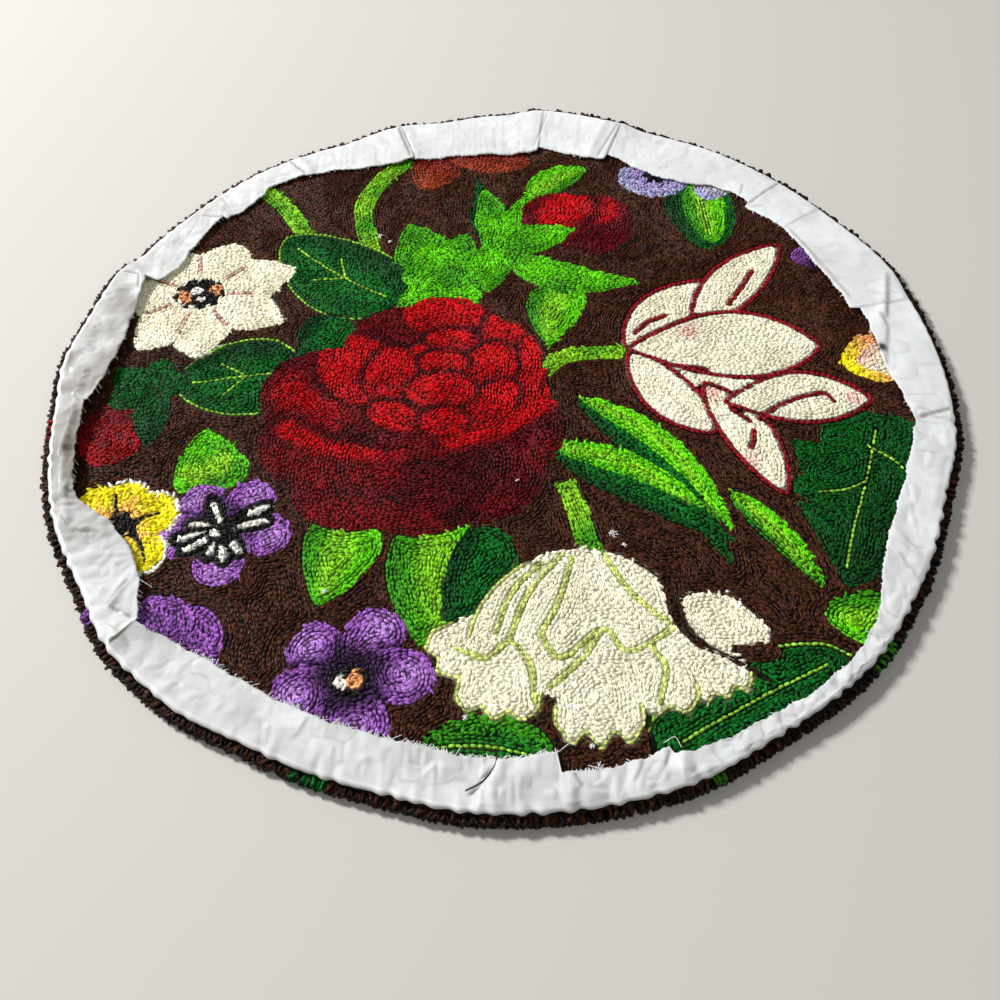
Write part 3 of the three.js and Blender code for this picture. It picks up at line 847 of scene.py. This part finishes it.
def dip(px, py):
    """How deep the soft crease is at a place, from 0 to 1."""
    deep = np.zeros(np.shape(px))
    for (xa, ya, wa), (xb, yb, wb) in zip(CREASE[:-1], CREASE[1:]):
        t, off = off_line(px, py, xa, ya, xb, yb)
        deep = np.maximum(deep, np.exp(-((off / (wa + t * (wb - wa))) ** 2)))
    return deep


def cell_of(px, py):
    """The plan cell of a place, as an index for the pattern."""
    column = np.clip(((px + REACH) / CELL).astype(int), 0, steps - 1)
    row = np.clip(((py + REACH) / CELL).astype(int), 0, steps - 1)
    return row, column


def hem_edge(px, py):
    """How far a place lies outside the hem's raw edge."""
    a = np.degrees(np.arctan2(py - HEM_MIDDLE[1], px - HEM_MIDDLE[0])) % 360
    return np.hypot(px - HEM_MIDDLE[0], py - HEM_MIDDLE[1]) - np.interp(a, angles, edge, period=360)


def reach_from(marked, cells):
    """Distance of each plan cell from the nearest marked one, in millimetres."""
    gap = np.where(marked, 0.0, 2.0 * cells).astype(np.float32)
    for k in range(1, steps):
        gap[k] = np.minimum(gap[k], gap[k - 1] + 1)
    for k in range(steps - 2, -1, -1):
        gap[k] = np.minimum(gap[k], gap[k + 1] + 1)
    square = gap**2
    best = square.copy()
    for k in range(1, cells):
        best[:, k:] = np.minimum(best[:, k:], square[:, :-k] + k * k)
        best[:, :-k] = np.minimum(best[:, :-k], square[:, k:] + k * k)
    return np.sqrt(best) * CELL


def depth_map():
    """Distance of each plan cell from the outline of its shape, wandering a little further in."""
    border = np.zeros((steps, steps), bool)
    border[:-1] |= region[:-1] != region[1:]
    border[:, :-1] |= region[:, :-1] != region[:, 1:]
    border |= np.isin(region, [number for _, _, number in single_rows])
    depth = reach_from(border, DEEPEST)
    px, py = plan_line[None, :], plan_line[:, None]
    wander = np.sin(px / 3.9 + 2 * np.sin(py / 6.1))
    wander = wander + np.sin(py / 4.3 + 2 * np.sin(px / 5.3 + 1))
    wander = wander + np.sin((px + py) / 2.7)
    return depth + 0.55 * wander * np.clip(depth / 9.0, 0, 1)


def soften(field):
    """Averages each cell with its neighbours."""
    for _ in range(2):
        wide = np.pad(field, 1, mode="edge")
        field = (wide[:-2, 1:-1] + wide[2:, 1:-1] + wide[1:-1, :-2] + wide[1:-1, 2:] + 2 * field) / 6
    return field


def rows_of(depth, pitch):
    """Points and joins of the rows that follow the outlines inwards, half a pitch in, then every pitch."""
    field = depth[::2, ::2] / pitch - 0.5
    coarse = plan_line[::2]
    level = np.floor(field)
    points, number = [], {}
    count = 0
    every, first, later = slice(None), slice(None, -1), slice(1, None)
    for key, near, far in (
        ("across", (every, first), (every, later)), ("up", (first, every), (later, every))
    ):
        cut = level[near] != level[far]
        t = (np.maximum(level[near], level[far]) - field[near]) / np.where(cut, field[far] - field[near], 1)
        r, c = np.nonzero(cut)
        shift = t[cut] * 2 * CELL
        px = coarse[c] + (shift if key == "across" else 0)
        py = coarse[r] + (shift if key == "up" else 0)
        points.append(np.stack([px, py], 1))
        index = np.full(cut.shape, -1)
        index[r, c] = count + np.arange(len(r))
        number[key] = index
        count += len(r)
    low, high = number["across"][:-1], number["across"][1:]
    left, right = number["up"][:, :-1], number["up"][:, 1:]
    sides = np.stack([low, right, high, left], -1).reshape(-1, 4)
    found = (sides >= 0).sum(1)
    two = np.sort(sides[found == 2], 1)[:, 2:]
    four = sides[found == 4]
    return np.vstack(points), np.vstack([two, four[:, [0, 3]], four[:, [1, 2]]])


def stitch_shape():
    """One flat stitch: a short length of yarn, low at both ends where it goes through the cloth."""
    points, places = [], []
    for u, reach, rise, wide in (
        (0, -2.25, -0.2, 0.5), (0.3, -1.15, 1.15, 0.82), (0.7, 1.15, 1.15, 0.82), (1, 2.25, -0.2, 0.5)
    ):
        for v, side, up in ((0, -1.15, -0.9), (0.5, 0, 0.25), (1, 1.15, -0.9)):
            points.append((reach, side * wide, rise + up))
            places.append((u, v))
    faces = [(3 * s + c, 3 * s + 3 + c, 3 * s + 4 + c, 3 * s + 1 + c) for s in range(3) for c in range(2)]
    return points, places, faces


def shape(name, points, places, faces):
    """A small mesh for the rows, with the strand's own map."""
    made = piece(name, points, faces)
    strand = made.data.uv_layers.new(name="strand")
    for loop in made.data.loops:
        strand.data[loop.index].uv = places[loop.vertex_index]
    return made


# The side of the flat map that the yarn is laid out on, in metres, and what red, green and blue add
# to how light a colour looks.
MAP_SIDE = 0.64
LIGHTNESS = (0.2, 0.7, 0.1)


def yarn_rows():
    """Geometry nodes: sets one shape at every step along each row and colours it from the row."""
    tree, given, out = group("Yarn rows", "GeometryNodeTree", {
        "Rows": "Geometry", "Shape": "Object", "Spacing": "Float", "Turn": "Vector", "Shift": "Vector",
        "Least size": "Vector", "Most size": "Vector", "Tone": "Float", "Seed": "Int",
        "Material": "Material",
    }, {"Yarn": "Geometry"})
    wanted = given.outputs

    def drawn(least, most):
        """A vector for each step, drawn by chance between two others."""
        links = [(0, least), (1, most), ("Seed", wanted["Seed"])]
        return node(tree, "FunctionNodeRandomValue", links, data_type="FLOAT_VECTOR").outputs[0]

    def both_ways(most):
        """A vector for each step, drawn by chance up to that much either way."""
        return drawn(vectors(tree, "MULTIPLY", most, (-1, -1, -1)), most)

    curve = node(tree, "GeometryNodeMeshToCurve", [("Mesh", wanted["Rows"])])
    walk = node(tree, "GeometryNodeResampleCurve", [
        ("Curve", curve.outputs[0]), ("Length", wanted["Spacing"]),
    ], mode="LENGTH")
    ahead = node(tree, "GeometryNodeInputTangent")
    aligned = node(tree, "FunctionNodeAlignRotationToVector", [
        ("Vector", ahead.outputs[0]),
    ], axis="X", pivot_axis="Z")
    swayed = node(tree, "FunctionNodeEulerToRotation", [(0, both_ways(wanted["Turn"]))])
    facing = node(tree, "FunctionNodeRotateRotation", [
        (0, aligned.outputs[0]), (1, swayed.outputs[0]),
    ], rotation_space="LOCAL")
    single = node(tree, "GeometryNodeObjectInfo", [("Object", wanted["Shape"])])
    shifted = node(tree, "GeometryNodeSetPosition", [
        ("Geometry", walk.outputs[0]), ("Offset", both_ways(wanted["Shift"])),
    ])
    set_on = node(tree, "GeometryNodeInstanceOnPoints", [
        ("Points", shifted.outputs[0]), ("Instance", single.outputs["Geometry"]),
        ("Rotation", facing.outputs[0]), ("Scale", drawn(wanted["Least size"], wanted["Most size"])),
    ])
    plain = node(tree, "GeometryNodeInputNamedAttribute", [("Name", "dyed")], data_type="FLOAT_VECTOR")
    tone = node(tree, "FunctionNodeRandomValue", [
        (2, maths(tree, "SUBTRACT", 1.0, wanted["Tone"])), (3, maths(tree, "ADD", 1.0, wanted["Tone"])),
        ("Seed", wanted["Seed"]),
    ], data_type="FLOAT")
    toned = vectors(tree, "SCALE", plain.outputs[0], Scale=tone.outputs[1])
    tinted = node(tree, "GeometryNodeStoreNamedAttribute", [
        ("Geometry", set_on.outputs[0]), ("Name", "yarn_colour"), ("Value", toned),
    ], data_type="FLOAT_COLOR", domain="INSTANCE")
    real = node(tree, "GeometryNodeRealizeInstances", [("Geometry", tinted.outputs[0])])
    where = node(tree, "GeometryNodeInputPosition")
    plan = vectors(tree, "MULTIPLY_ADD", where.outputs[0], (1 / MAP_SIDE, 1 / MAP_SIDE, 0), (0.5, 0.5, 0))
    mapped = node(tree, "GeometryNodeStoreNamedAttribute", [
        ("Geometry", real.outputs[0]), ("Name", "OFBake"), ("Value", plan),
    ], data_type="FLOAT2", domain="CORNER")
    finish = node(tree, "GeometryNodeSetMaterial", [
        ("Geometry", mapped.outputs[0]), ("Material", wanted["Material"]),
    ])
    tree.links.new(finish.outputs[0], out.inputs["Yarn"])
    return tree


def worked(name, points, joins, colours, tree, **inputs):
    """A piece of yarn made by walking its rows with the node tree."""
    mesh = bpy.data.meshes.new(name)
    mesh.from_pydata(np.asarray(points) * MM, np.asarray(joins), [])
    full = np.concatenate([colours, np.ones((len(colours), 1))], 1).astype(np.float32)
    mesh.attributes.new("dyed", "FLOAT_COLOR", "POINT").data.foreach_set("color", full.ravel())
    made = bpy.data.objects.new(name, mesh)
    bpy.context.scene.collection.objects.link(made)
    walk = made.modifiers.new("Yarn rows", "NODES")
    walk.node_group = tree
    sockets = {s.name: s.identifier for s in tree.interface.items_tree if s.in_out == "INPUT"}
    for key, value in inputs.items():
        walk[sockets[key.replace("_", " ")]] = value
    made.data = bpy.data.meshes.new_from_object(made.evaluated_get(bpy.context.evaluated_depsgraph_get()))
    made.modifiers.clear()
    made.data.name = name
    made.data.shade_smooth()
    return made


def twist_group():
    """Two-ply wool: plies along the strand with painted shade in their grooves, painted highlights on loose
    fibres, and a painted highlight along each ridge with painted shade at its sides and ends.

    Pale yarn gets less of this painted light and shade than dark yarn."""
    tree, given, out = group(
        "Yarn twist", "ShaderNodeTree",
        {"Colour": "Color", "Strand": "Vector", "Place": "Vector", "Fibre highlight": "Float"},
        {"Colour": "Color", "Height": "Float"},
    )
    colour, strand = given.outputs["Colour"], given.outputs["Strand"]
    ply = maths(tree, "SINE", vectors(tree, "DOT_PRODUCT", strand, (14.0, 8.0, 0)))
    along = vectors(tree, "MULTIPLY", strand, (3.0, 13.0, 0.0))
    apart = vectors(tree, "MULTIPLY_ADD", given.outputs["Place"], (260.0, 260.0, 260.0), along)
    fibre = node(tree, "ShaderNodeTexNoise", [("Vector", apart), ("Scale", 1.0), ("Detail", 2.0)])
    # Painted highlights: loose fibres are brightened where the fibre noise is high.
    fibre_highlight = node(tree, "ShaderNodeMapRange", [
        ("Value", fibre.outputs[0]), ("From Min", 0.5), ("From Max", 0.75),
        ("To Max", given.outputs["Fibre highlight"]),
    ])
    # Painted shade in the grooves between the plies, and painted light on their ridges.
    groove = node(tree, "ShaderNodeMapRange", [
        ("Value", ply), ("From Min", -1.0), ("From Max", 1.0), ("To Min", 0.7), ("To Max", 1.16),
    ])
    # A painted highlight along the ridge of each stitch or loop, and painted shade at its sides and ends.
    crown = vectors(tree, "SUBTRACT", strand, vectors(tree, "MULTIPLY", strand, strand))
    lit = vectors(tree, "MULTIPLY_ADD", crown, (1.2, 3.4, 0.0), (0.8, 0.45, 0.0))
    sides = node(tree, "ShaderNodeSeparateXYZ", [(0, lit)])
    painted_crest_light = maths(tree, "MULTIPLY", sides.outputs[0], sides.outputs[1])
    shade = maths(tree, "MULTIPLY", painted_crest_light, groove.outputs[0])
    pale = vectors(tree, "DOT_PRODUCT", colour, LIGHTNESS)
    soft = node(tree, "ShaderNodeMix", [("Factor", pale), (2, shade), (3, 1.0)], data_type="FLOAT")
    painted_shade_colour = vectors(tree, "SCALE", colour, Scale=soft.outputs[0])
    # The brightened colour that the painted highlights on loose fibres take.
    bright = vectors(tree, "MULTIPLY_ADD", colour, (1.9, 1.9, 1.9), (0.012, 0.01, 0.008))
    tree.links.new(mixed(tree, fibre_highlight.outputs[0], painted_shade_colour, bright), out.inputs["Colour"])
    height = maths(tree, "MULTIPLY_ADD", fibre.outputs[0], 1.2, ply)
    tree.links.new(height, out.inputs["Height"])
    return tree


def wool(name, fibre_highlight, twist):
    """Wool of the colour that each stitch or loop carries."""
    made, tree, shader = material(name, 0.42, 0.0)
    shader.inputs["Specular IOR Level"].default_value = 0.16
    colour = node(tree, "ShaderNodeAttribute", attribute_name="yarn_colour")
    strand = node(tree, "ShaderNodeUVMap", uv_map="strand")
    place = node(tree, "ShaderNodeTexCoord")
    wound = node(tree, "ShaderNodeGroup", [
        ("Colour", colour.outputs["Color"]), ("Strand", strand.outputs[0]),
        ("Place", place.outputs["Object"]),
        ("Fibre highlight", fibre_highlight),
    ], node_tree=twist)
    tree.links.new(wound.outputs["Colour"], shader.inputs["Base Color"])
    bumped(tree, shader, wound.outputs["Height"], 0.5, 0.0004)
    return made


twist = twist_group()
stitch_wool = wool("stitch_yarn", 0.8, twist)
row_tree = yarn_rows()
one_stitch = shape("stitch_shape", *stitch_shape())

# Rows first, then a stitch in each bare place that they leave, then the veins and outlines.
depth = soften(depth_map())
row_points, row_joins = rows_of(depth, ROW)
run_past = np.isin(region, [number for _, _, number in single_rows])
run_past[cell_of(*row_points.T)] = True
bare = reach_from(run_past, NEAR)
chosen = []
for k in np.argsort(-bare, axis=None)[: int((bare > BARE).sum())]:
    r, c = divmod(int(k), steps)
    if bare[r, c] > BARE:
        chosen.append((plan_line[c], plan_line[r]))
        up = slice(max(r - TAKEN_UP, 0), r + TAKEN_UP + 1)
        over = slice(max(c - TAKEN_ACROSS, 0), c + TAKEN_ACROSS + 1)
        bare[up, over] = 0
row_family = family[cell_of(*row_points.T)]
row_colour = dyed[cell_of(*row_points.T)]
chosen = np.array(chosen)
rise_y, rise_x = np.gradient(depth)
beside = np.stack([-rise_y[cell_of(*chosen.T)], rise_x[cell_of(*chosen.T)]], 1)
beside /= np.linalg.norm(beside, axis=1)[:, None].clip(1e-3)
extra = np.stack([chosen, chosen + LONE_ROW * beside], 1).reshape(-1, 2)
row_joins = np.vstack([row_joins, len(row_points) + np.arange(len(extra)).reshape(-1, 2)])
row_points = np.vstack([row_points, extra])
row_family = np.concatenate([row_family, np.repeat(family[cell_of(*chosen.T)], 2)])
row_colour = np.vstack([row_colour, np.repeat(dyed[cell_of(*chosen.T)], 2, 0)])
lone_points, lone_joins, lone_family, lone_colour = [], [], [], []
uneven = np.random.default_rng(8)
for run, yarn, number in single_rows:
    on = region[cell_of(*run.T)] == number
    start = len(row_points) + len(lone_points)
    lone_points += list(run)
    lone_joins += [(start + k, start + k + 1) for k in range(len(run) - 1) if on[k] and on[k + 1]]
    lone_family += [YARN[yarn][0]] * len(run)
    lone_colour += list(YARN[yarn][1] * uneven.uniform(0.5, 1.15, (len(run), 1)))
row_points = np.vstack([row_points, lone_points])
row_joins = np.vstack([row_joins, lone_joins])
row_family = np.concatenate([row_family, lone_family])
row_colour = np.vstack([row_colour, lone_colour])
seen = hem_edge(*row_points.T) < UNDER_HEM
row_joins = row_joins[seen[row_joins].all(1)]
trough = dip(*row_points.T)
# Painted shade: stitches in the soft crease are dimmed.
row_colour = row_colour * (1 - CREASE_PAINTED_SHADE * trough)[:, None]
swell = 0.15 * np.sin(row_points[:, 0] / 31.0) * np.cos(row_points[:, 1] / 27.0)
row_height = BED_TOP - 0.1 - CREASE_DEPTH * trough + swell
row_points = np.column_stack([row_points, row_height])

STITCHED = [
    # name, family, how far the dye varies from stitch to stitch, length, thickness
    ("ground_stitches", GROUND, 0.6, 1.14, 0.95), ("red_stitches", REDS, 0.35, 1.0, 1.0),
    ("green_stitches", GREENS, 0.4, 1.0, 1.0), ("pale_stitches", PALES, 0.08, 1.0, 1.12),
    ("bright_stitches", BRIGHTS, 0.45, 1.0, 1.05),
]
for name, kind, tone, long, thick in STITCHED:
    mine = row_joins[(row_family[row_joins] == kind).all(1)]
    used, renamed = np.unique(mine, return_inverse=True)
    stitches = worked(
        name, row_points[used], renamed.reshape(-1, 2), row_colour[used], row_tree, Shape=one_stitch,
        Spacing=STITCH * MM, Turn=(0.14, 0.14, 0.24), Shift=(0.00025, 0.00025, 0.0002),
        Least_size=(0.78 * long, 0.8 * thick, 0.8), Most_size=(1.12 * long, 1.1 * thick, 1.15),
        Tone=tone, Seed=5 + kind, Material=stitch_wool,
    )
    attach(stitches, "root")
bpy.data.objects.remove(one_stitch)


def slab(outer, stations, shares_below, below, shares_above, above):
    """Points and faces of a round slab: rings at those shares of the outer radius, below and then above."""
    picks = np.arange(stations) * len(outer) // stations
    radius = outer[picks][:, None] * np.concatenate([shares_below[::-1], shares_above])
    count = len(shares_below)
    px, py = on_plan(angles[picks][:, None], radius)
    height = np.hstack([np.full((stations, count), below), above(px[:, count:], py[:, count:])])
    return turned(angles[picks], radius, height)


def bed_height(px, py):
    """The bed under the stitches, lower along the soft crease."""
    return BED_TOP - CREASE_DEPTH * dip(px, py)


INMOST = 0.02
BED_STATIONS, BED_RINGS, BED_PAST_EDGE = 360, 44, 12
bed_shares = np.linspace(1, INMOST, BED_RINGS)
points, faces = slab(
    edge + BED_PAST_EDGE, BED_STATIONS, np.array([1, INMOST]), BED_LOW - 0.2, bed_shares, bed_height
)
below = cell_of(points[:, 0], points[:, 1])
# The bed shows in the gaps between the stitches. Its colour is the dye above it, dimmed as painted shade:
# less for pale yarn, more in the soft crease, and more again under veins and outlines that are not lime.
painted_gap_shade = np.clip(0.06 + 0.9 * dyed[below] @ LIGHTNESS, 0, 0.9)
painted_gap_shade *= 1 - CREASE_PAINTED_SHADE * dip(points[:, 0], points[:, 1])
veined = [number for _, yarn, number in single_rows if yarn != "lime"]
painted_gap_shade[np.isin(region[below], veined)] *= 0.25
bed = piece("stitch_bed", points, faces, yarn_colour=dyed[below] * painted_gap_shade[:, None])
bed.data.materials.append(wool("stitch_bed_yarn", 0.1, twist))
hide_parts("back_stitches")
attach(bed, "root")

# The loop pile: the show side, which faces the floor here. Every stitch pushes a loop of wool
# through the cloth; the loops of the last rounds splay out past the fold and show round the rim.
PILE_LOW, PILE_TOP, PILE_STATIONS, PILE_RINGS = 1.9, 7.0, 300, 40
LOOP_ROW, LOOP, NUB_HEIGHT = 5.6, 5.6, 2.1


def nub_shape():
    """The end of one loop as it stands in the pile: a small rounded bead."""
    points, places = [], []
    for v, up, wide in ((0, 0.0, 2.5), (0.6, -1.6, 1.9)):
        for k in range(4):
            a = math.radians(45 + 90 * k)
            points.append((wide * math.cos(a), wide * math.sin(a), up))
            places.append((k / 4, v))
    points.append((0, 0, -2.1))
    places.append((0.5, 1))
    faces = [(k, 4 + k, 4 + (k + 1) % 4, (k + 1) % 4) for k in range(4)]
    faces += [(4 + k, 8, 4 + (k + 1) % 4) for k in range(4)]
    return points, places, faces


def rim_loop_shape():
    """One loop lying outwards: a thick strand that goes out, round and back."""
    path = np.array([
        (-1.1, -1.5, 0.0), (-1.5, 2.4, 0.3), (-1.1, 5.2, 0.2), (0.0, 6.4, 0.0),
        (1.1, 5.2, -0.2), (1.5, 2.4, -0.3), (1.1, -1.5, 0.0),
    ])
    ahead = np.gradient(path, axis=0)
    ahead /= np.linalg.norm(ahead, axis=1)[:, None]
    side = np.cross(ahead, (0, 0, 1.0))
    side /= np.linalg.norm(side, axis=1)[:, None]
    rise = np.cross(side, ahead)
    points, places = [], []
    for k, centre in enumerate(path):
        for c in range(5):
            a = 2 * math.pi * c / 5
            points.append(centre + 1.15 * (math.cos(a) * side[k] + math.sin(a) * rise[k]))
            places.append((k / 6 * 3, c / 5))
    faces = []
    for s in range(0, 30, 5):
        faces += [(s + c, s + (c + 1) % 5, s + 5 + (c + 1) % 5, s + 5 + c) for c in range(5)]
    return points, places, faces


def rim_at(degrees):
    """Radius of the fold at each angle."""
    return np.interp(degrees, angles, fold, period=360)


def cloth_side(px, py):
    """The flat top of the pile, against the cloth."""
    return np.full(px.shape, PILE_TOP)


pile_shares = np.linspace(1, INMOST, PILE_RINGS)
points, faces = slab(fold + 0.5, PILE_STATIONS, pile_shares, PILE_LOW, np.array([1, INMOST]), cloth_side)
pile_wool = wool("loop_yarn", 0.16, twist)
# The base between the loops takes the dye dimmed to 0.45 as painted shade.
pile = piece("loop_pile_base", points, faces, yarn_colour=0.45 * dyed[cell_of(points[:, 0], points[:, 1])])
pile.data.materials.append(pile_wool)
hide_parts("loop_pile")

nub = shape("nub_shape", *nub_shape())
nub_points, nub_joins = rows_of(depth, LOOP_ROW)
out = np.hypot(nub_points[:, 0] - HEM_MIDDLE[0], nub_points[:, 1] - HEM_MIDDLE[1])
lie = np.degrees(np.arctan2(nub_points[:, 1] - HEM_MIDDLE[1], nub_points[:, 0] - HEM_MIDDLE[0])) % 360
inside = out < rim_at(lie) + 1
nub_joins = nub_joins[inside[nub_joins].all(1)]
used, renamed = np.unique(nub_joins, return_inverse=True)
nub_points = nub_points[used]
nub_places = np.column_stack([nub_points, np.full(len(nub_points), NUB_HEIGHT)])
loops = worked(
    "pile_loops", nub_places, renamed.reshape(-1, 2), dyed[cell_of(*nub_points.T)], row_tree, Shape=nub,
    Spacing=LOOP * MM, Turn=(0.15, 0.15, 0.8), Shift=(0.0004, 0.0004, 0.0002), Least_size=(0.9, 0.9, 0.85),
    Most_size=(1.1, 1.1, 1.0), Tone=0.15, Seed=21, Material=pile_wool,
)
bpy.data.objects.remove(nub)

rim_loop = shape("rim_loop_shape", *rim_loop_shape())
RIM_ROUNDS = [
    # past the fold, height, shift along the round in degrees
    (-0.6, 5.6, 0.0), (0.4, 4.2, 0.5), (-0.4, 2.9, 0.25),
]
RIM_STEPS, RIM_PITCH, FAR_SPLAY = 720, 3.4, 3.4
rounds = []
for past, height, shift in RIM_ROUNDS:
    lie = (360 - np.arange(RIM_STEPS) * 360 / RIM_STEPS + shift) % 360
    px, py = on_plan(lie, rim_at(lie) + past + FAR_SPLAY * np.sin(np.radians(lie)).clip(0))
    rounds.append(np.column_stack([px, py, np.full(RIM_STEPS, height)]))
joins = []
for first in range(0, len(rounds) * RIM_STEPS, RIM_STEPS):
    joins += [(first + s, first + (s + 1) % RIM_STEPS) for s in range(RIM_STEPS)]
ring = np.vstack(rounds)
rim_loops = worked(
    "rim_loops", ring, joins, dyed[cell_of(ring[:, 0], ring[:, 1])], row_tree, Shape=rim_loop,
    Spacing=RIM_PITCH * MM, Turn=(0.2, 0.8, 0.5), Shift=(0.0008, 0.0008, 0.0004),
    Least_size=(0.75, 0.7, 0.8), Most_size=(1.15, 0.98, 1.1), Tone=0.35, Seed=33, Material=pile_wool,
)
bpy.data.objects.remove(rim_loop)
for made in (pile, loops, rim_loops):
    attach(made, "root")

# Frays and lint: the raw edge has no hem stitch, so its end threads stand out, most of all at the
# near left. A few ends of thread, one dark end of wool and some lint also lie about on the back.
FRAYED = np.array([
    # angle, share of the threads that stand out there
    (0, 0.1), (110, 0.1), (165, 0.05), (205, 0.08), (222, 0.5), (230, 1.0), (278, 1.0), (286, 0.3),
    (330, 0.12), (360, 0.1),
])
chance = np.random.default_rng(12)
LOOSE = [
    # a thread through these places: x, y, z
    [(-258, -128, 14.5), (-249, -136, 14.0), (-243, -133, 13.8)],
    [(-226, -190, 14.0), (-214, -196, 13.6), (-208, -190, 12.6)],
    [(86, -261, 12.8), (92, -258, 13.6), (95, -263, 12.4)],
    [(-205, 200, 12.6), (-199, 197, 11.6), (-192, 199, 11.2)],
]
LINT = [
    # place and size of each bit
    (68, -128, 3.0), (74, -136, 1.6), (-20, -246, 1.6), (186, 50, 2.0), (-92, 140, 2.2), (-84, 134, 1.6),
    (10, -88, 1.2), (132, -168, 1.0), (-104, -168, 1.8), (48, -262, 1.6),
]

EDGE_THREADS, LONGEST = 2600, 4.5
threads, ties = [], []


def thread(*places):
    """One end of thread as joined points."""
    ties.extend((len(threads) + k, len(threads) + k + 1) for k in range(len(places) - 1))
    threads.extend(places)


for degrees in np.sort(chance.uniform(0, 360, EDGE_THREADS)):
    much = np.interp(degrees, FRAYED[:, 0], FRAYED[:, 1])
    if chance.random() < much:
        k = int(degrees * STATIONS / 360)
        reach = min(0.8 + chance.exponential(0.8), LONGEST) * (0.6 + 0.7 * much)
        swing = chance.normal(0, 0.7)
        start = edge[k] + 0.8
        drop = top[k, -1] - 11.0
        end_thread = []
        for s in (0, 0.55, 1):
            aim = degrees + swing * s * reach / LONGEST
            end_thread.append((*on_plan(aim, start - s * reach), top[k, -1] - 0.3 - s * s * drop * 0.7))
        thread(*end_thread)
for places in LOOSE:
    thread(*smooth_run(places, 9))
for x, y, size in LINT:
    for _ in range(5):
        a = chance.uniform(0, math.pi)
        dx, dy = size * math.cos(a), size * math.sin(a)
        mx, my = chance.normal(0, 0.3 * size, 2)
        thread((x - dx, y - dy, 10.7), (x + mx, y + my, 11.3), (x + dx, y + dy, 10.7))


def thread_tree():
    """Geometry nodes: gives each run of points the thickness of a thread."""
    inputs = {"Runs": "Geometry", "Thickness": "Float", "Material": "Material"}
    tree, given, out = group("Thread ends", "GeometryNodeTree", inputs, {"Threads": "Geometry"})
    curve = node(tree, "GeometryNodeMeshToCurve", [("Mesh", given.outputs["Runs"])])
    half = maths(tree, "MULTIPLY", given.outputs["Thickness"], 0.5)
    ring = node(tree, "GeometryNodeCurvePrimitiveCircle", [("Resolution", 4), ("Radius", half)])
    tube = node(
        tree, "GeometryNodeCurveToMesh",
        [("Curve", curve.outputs[0]), ("Profile Curve", ring.outputs[0]), ("Fill Caps", True)]
    )
    plain = node(tree, "GeometryNodeInputNamedAttribute", [("Name", "dyed")], data_type="FLOAT_COLOR")
    tinted = node(tree, "GeometryNodeStoreNamedAttribute", [
        ("Geometry", tube.outputs[0]), ("Name", "yarn_colour"), ("Value", plain.outputs[0]),
    ], data_type="FLOAT_COLOR", domain="POINT")
    real = node(tree, "GeometryNodeRealizeInstances", [("Geometry", tinted.outputs[0])])
    finish = node(
        tree, "GeometryNodeSetMaterial",
        [("Geometry", real.outputs[0]), ("Material", given.outputs["Material"])]
    )
    tree.links.new(finish.outputs[0], out.inputs["Threads"])
    return tree


ends = thread_tree()
COTTON_THREAD, WOOL_THREAD = 0.5, 0.9
white = np.ones((len(threads), 3))
frays = worked("thread_ends", threads, ties, white, ends, Thickness=COTTON_THREAD * MM, Material=cotton)
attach(frays, "root")
dark_run = smooth_run(
    [(-9, -265, 13.2), (-3, -267, 13.8), (-4, -274, 13.6), (-10, -282, 13.4), (-19, -287, 13.2)], 14
)
dark_ties = [(k, k + 1) for k in range(len(dark_run) - 1)]
dark_dye = np.tile(0.8 * YARN["earth"][1], (len(dark_run), 1))
dark_end = worked(
    "dark_yarn_end", dark_run, dark_ties, dark_dye, ends, Thickness=WOOL_THREAD * MM, Material=stitch_wool
)
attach(dark_end, "root")

# The stage: a pale floor to lie on, a soft lamp at the far left with a weak one opposite, and a camera
# that stands over the near edge and looks down.
bpy.ops.mesh.primitive_plane_add(size=8)
floor = bpy.context.object
floor.name = "floor"
floor_paint, tree, shader = material("floor_paint", 0.7, 0.0)
shader.inputs["Base Color"].default_value = (*dye(206, 202, 196), 1)
floor.data.materials.append(floor_paint)


def lamp(name, place, aim, size, watts):
    """A square soft lamp that looks at a point."""
    light = bpy.data.lights.new(name, "AREA")
    light.size, light.energy = size, watts
    made = bpy.data.objects.new(name, light)
    bpy.context.scene.collection.objects.link(made)
    made.location = place
    made.rotation_euler = (Vector(aim) - Vector(place)).to_track_quat("-Z", "Y").to_euler()


lamp("key_lamp", (-2.5, 1.4, 2.2), (0, 0, 0), 0.6, 178)
lamp("fill_lamp", (0.8, -2.2, 3.0), (0, 0, 0), 3.0, 24)
scene = bpy.context.scene
world = bpy.data.worlds.new("studio_air")
scene.world = world
world.use_nodes = True
world.node_tree.nodes["Background"].inputs["Color"].default_value = (1, 1, 1, 1)
world.node_tree.nodes["Background"].inputs["Strength"].default_value = 0.2
scene.view_settings.view_transform = "Standard"
CAMERA_PLACE, CAMERA_TILT = (-0.00103, -0.45549, 0.52336), 34.5
lens = bpy.data.cameras.new("camera")
lens.lens, lens.sensor_width = 36.0, 36.0
camera = bpy.data.objects.new("camera", lens)
scene.collection.objects.link(camera)
camera.location = CAMERA_PLACE
camera.rotation_euler = (math.radians(CAMERA_TILT), 0, 0)
scene.camera = camera
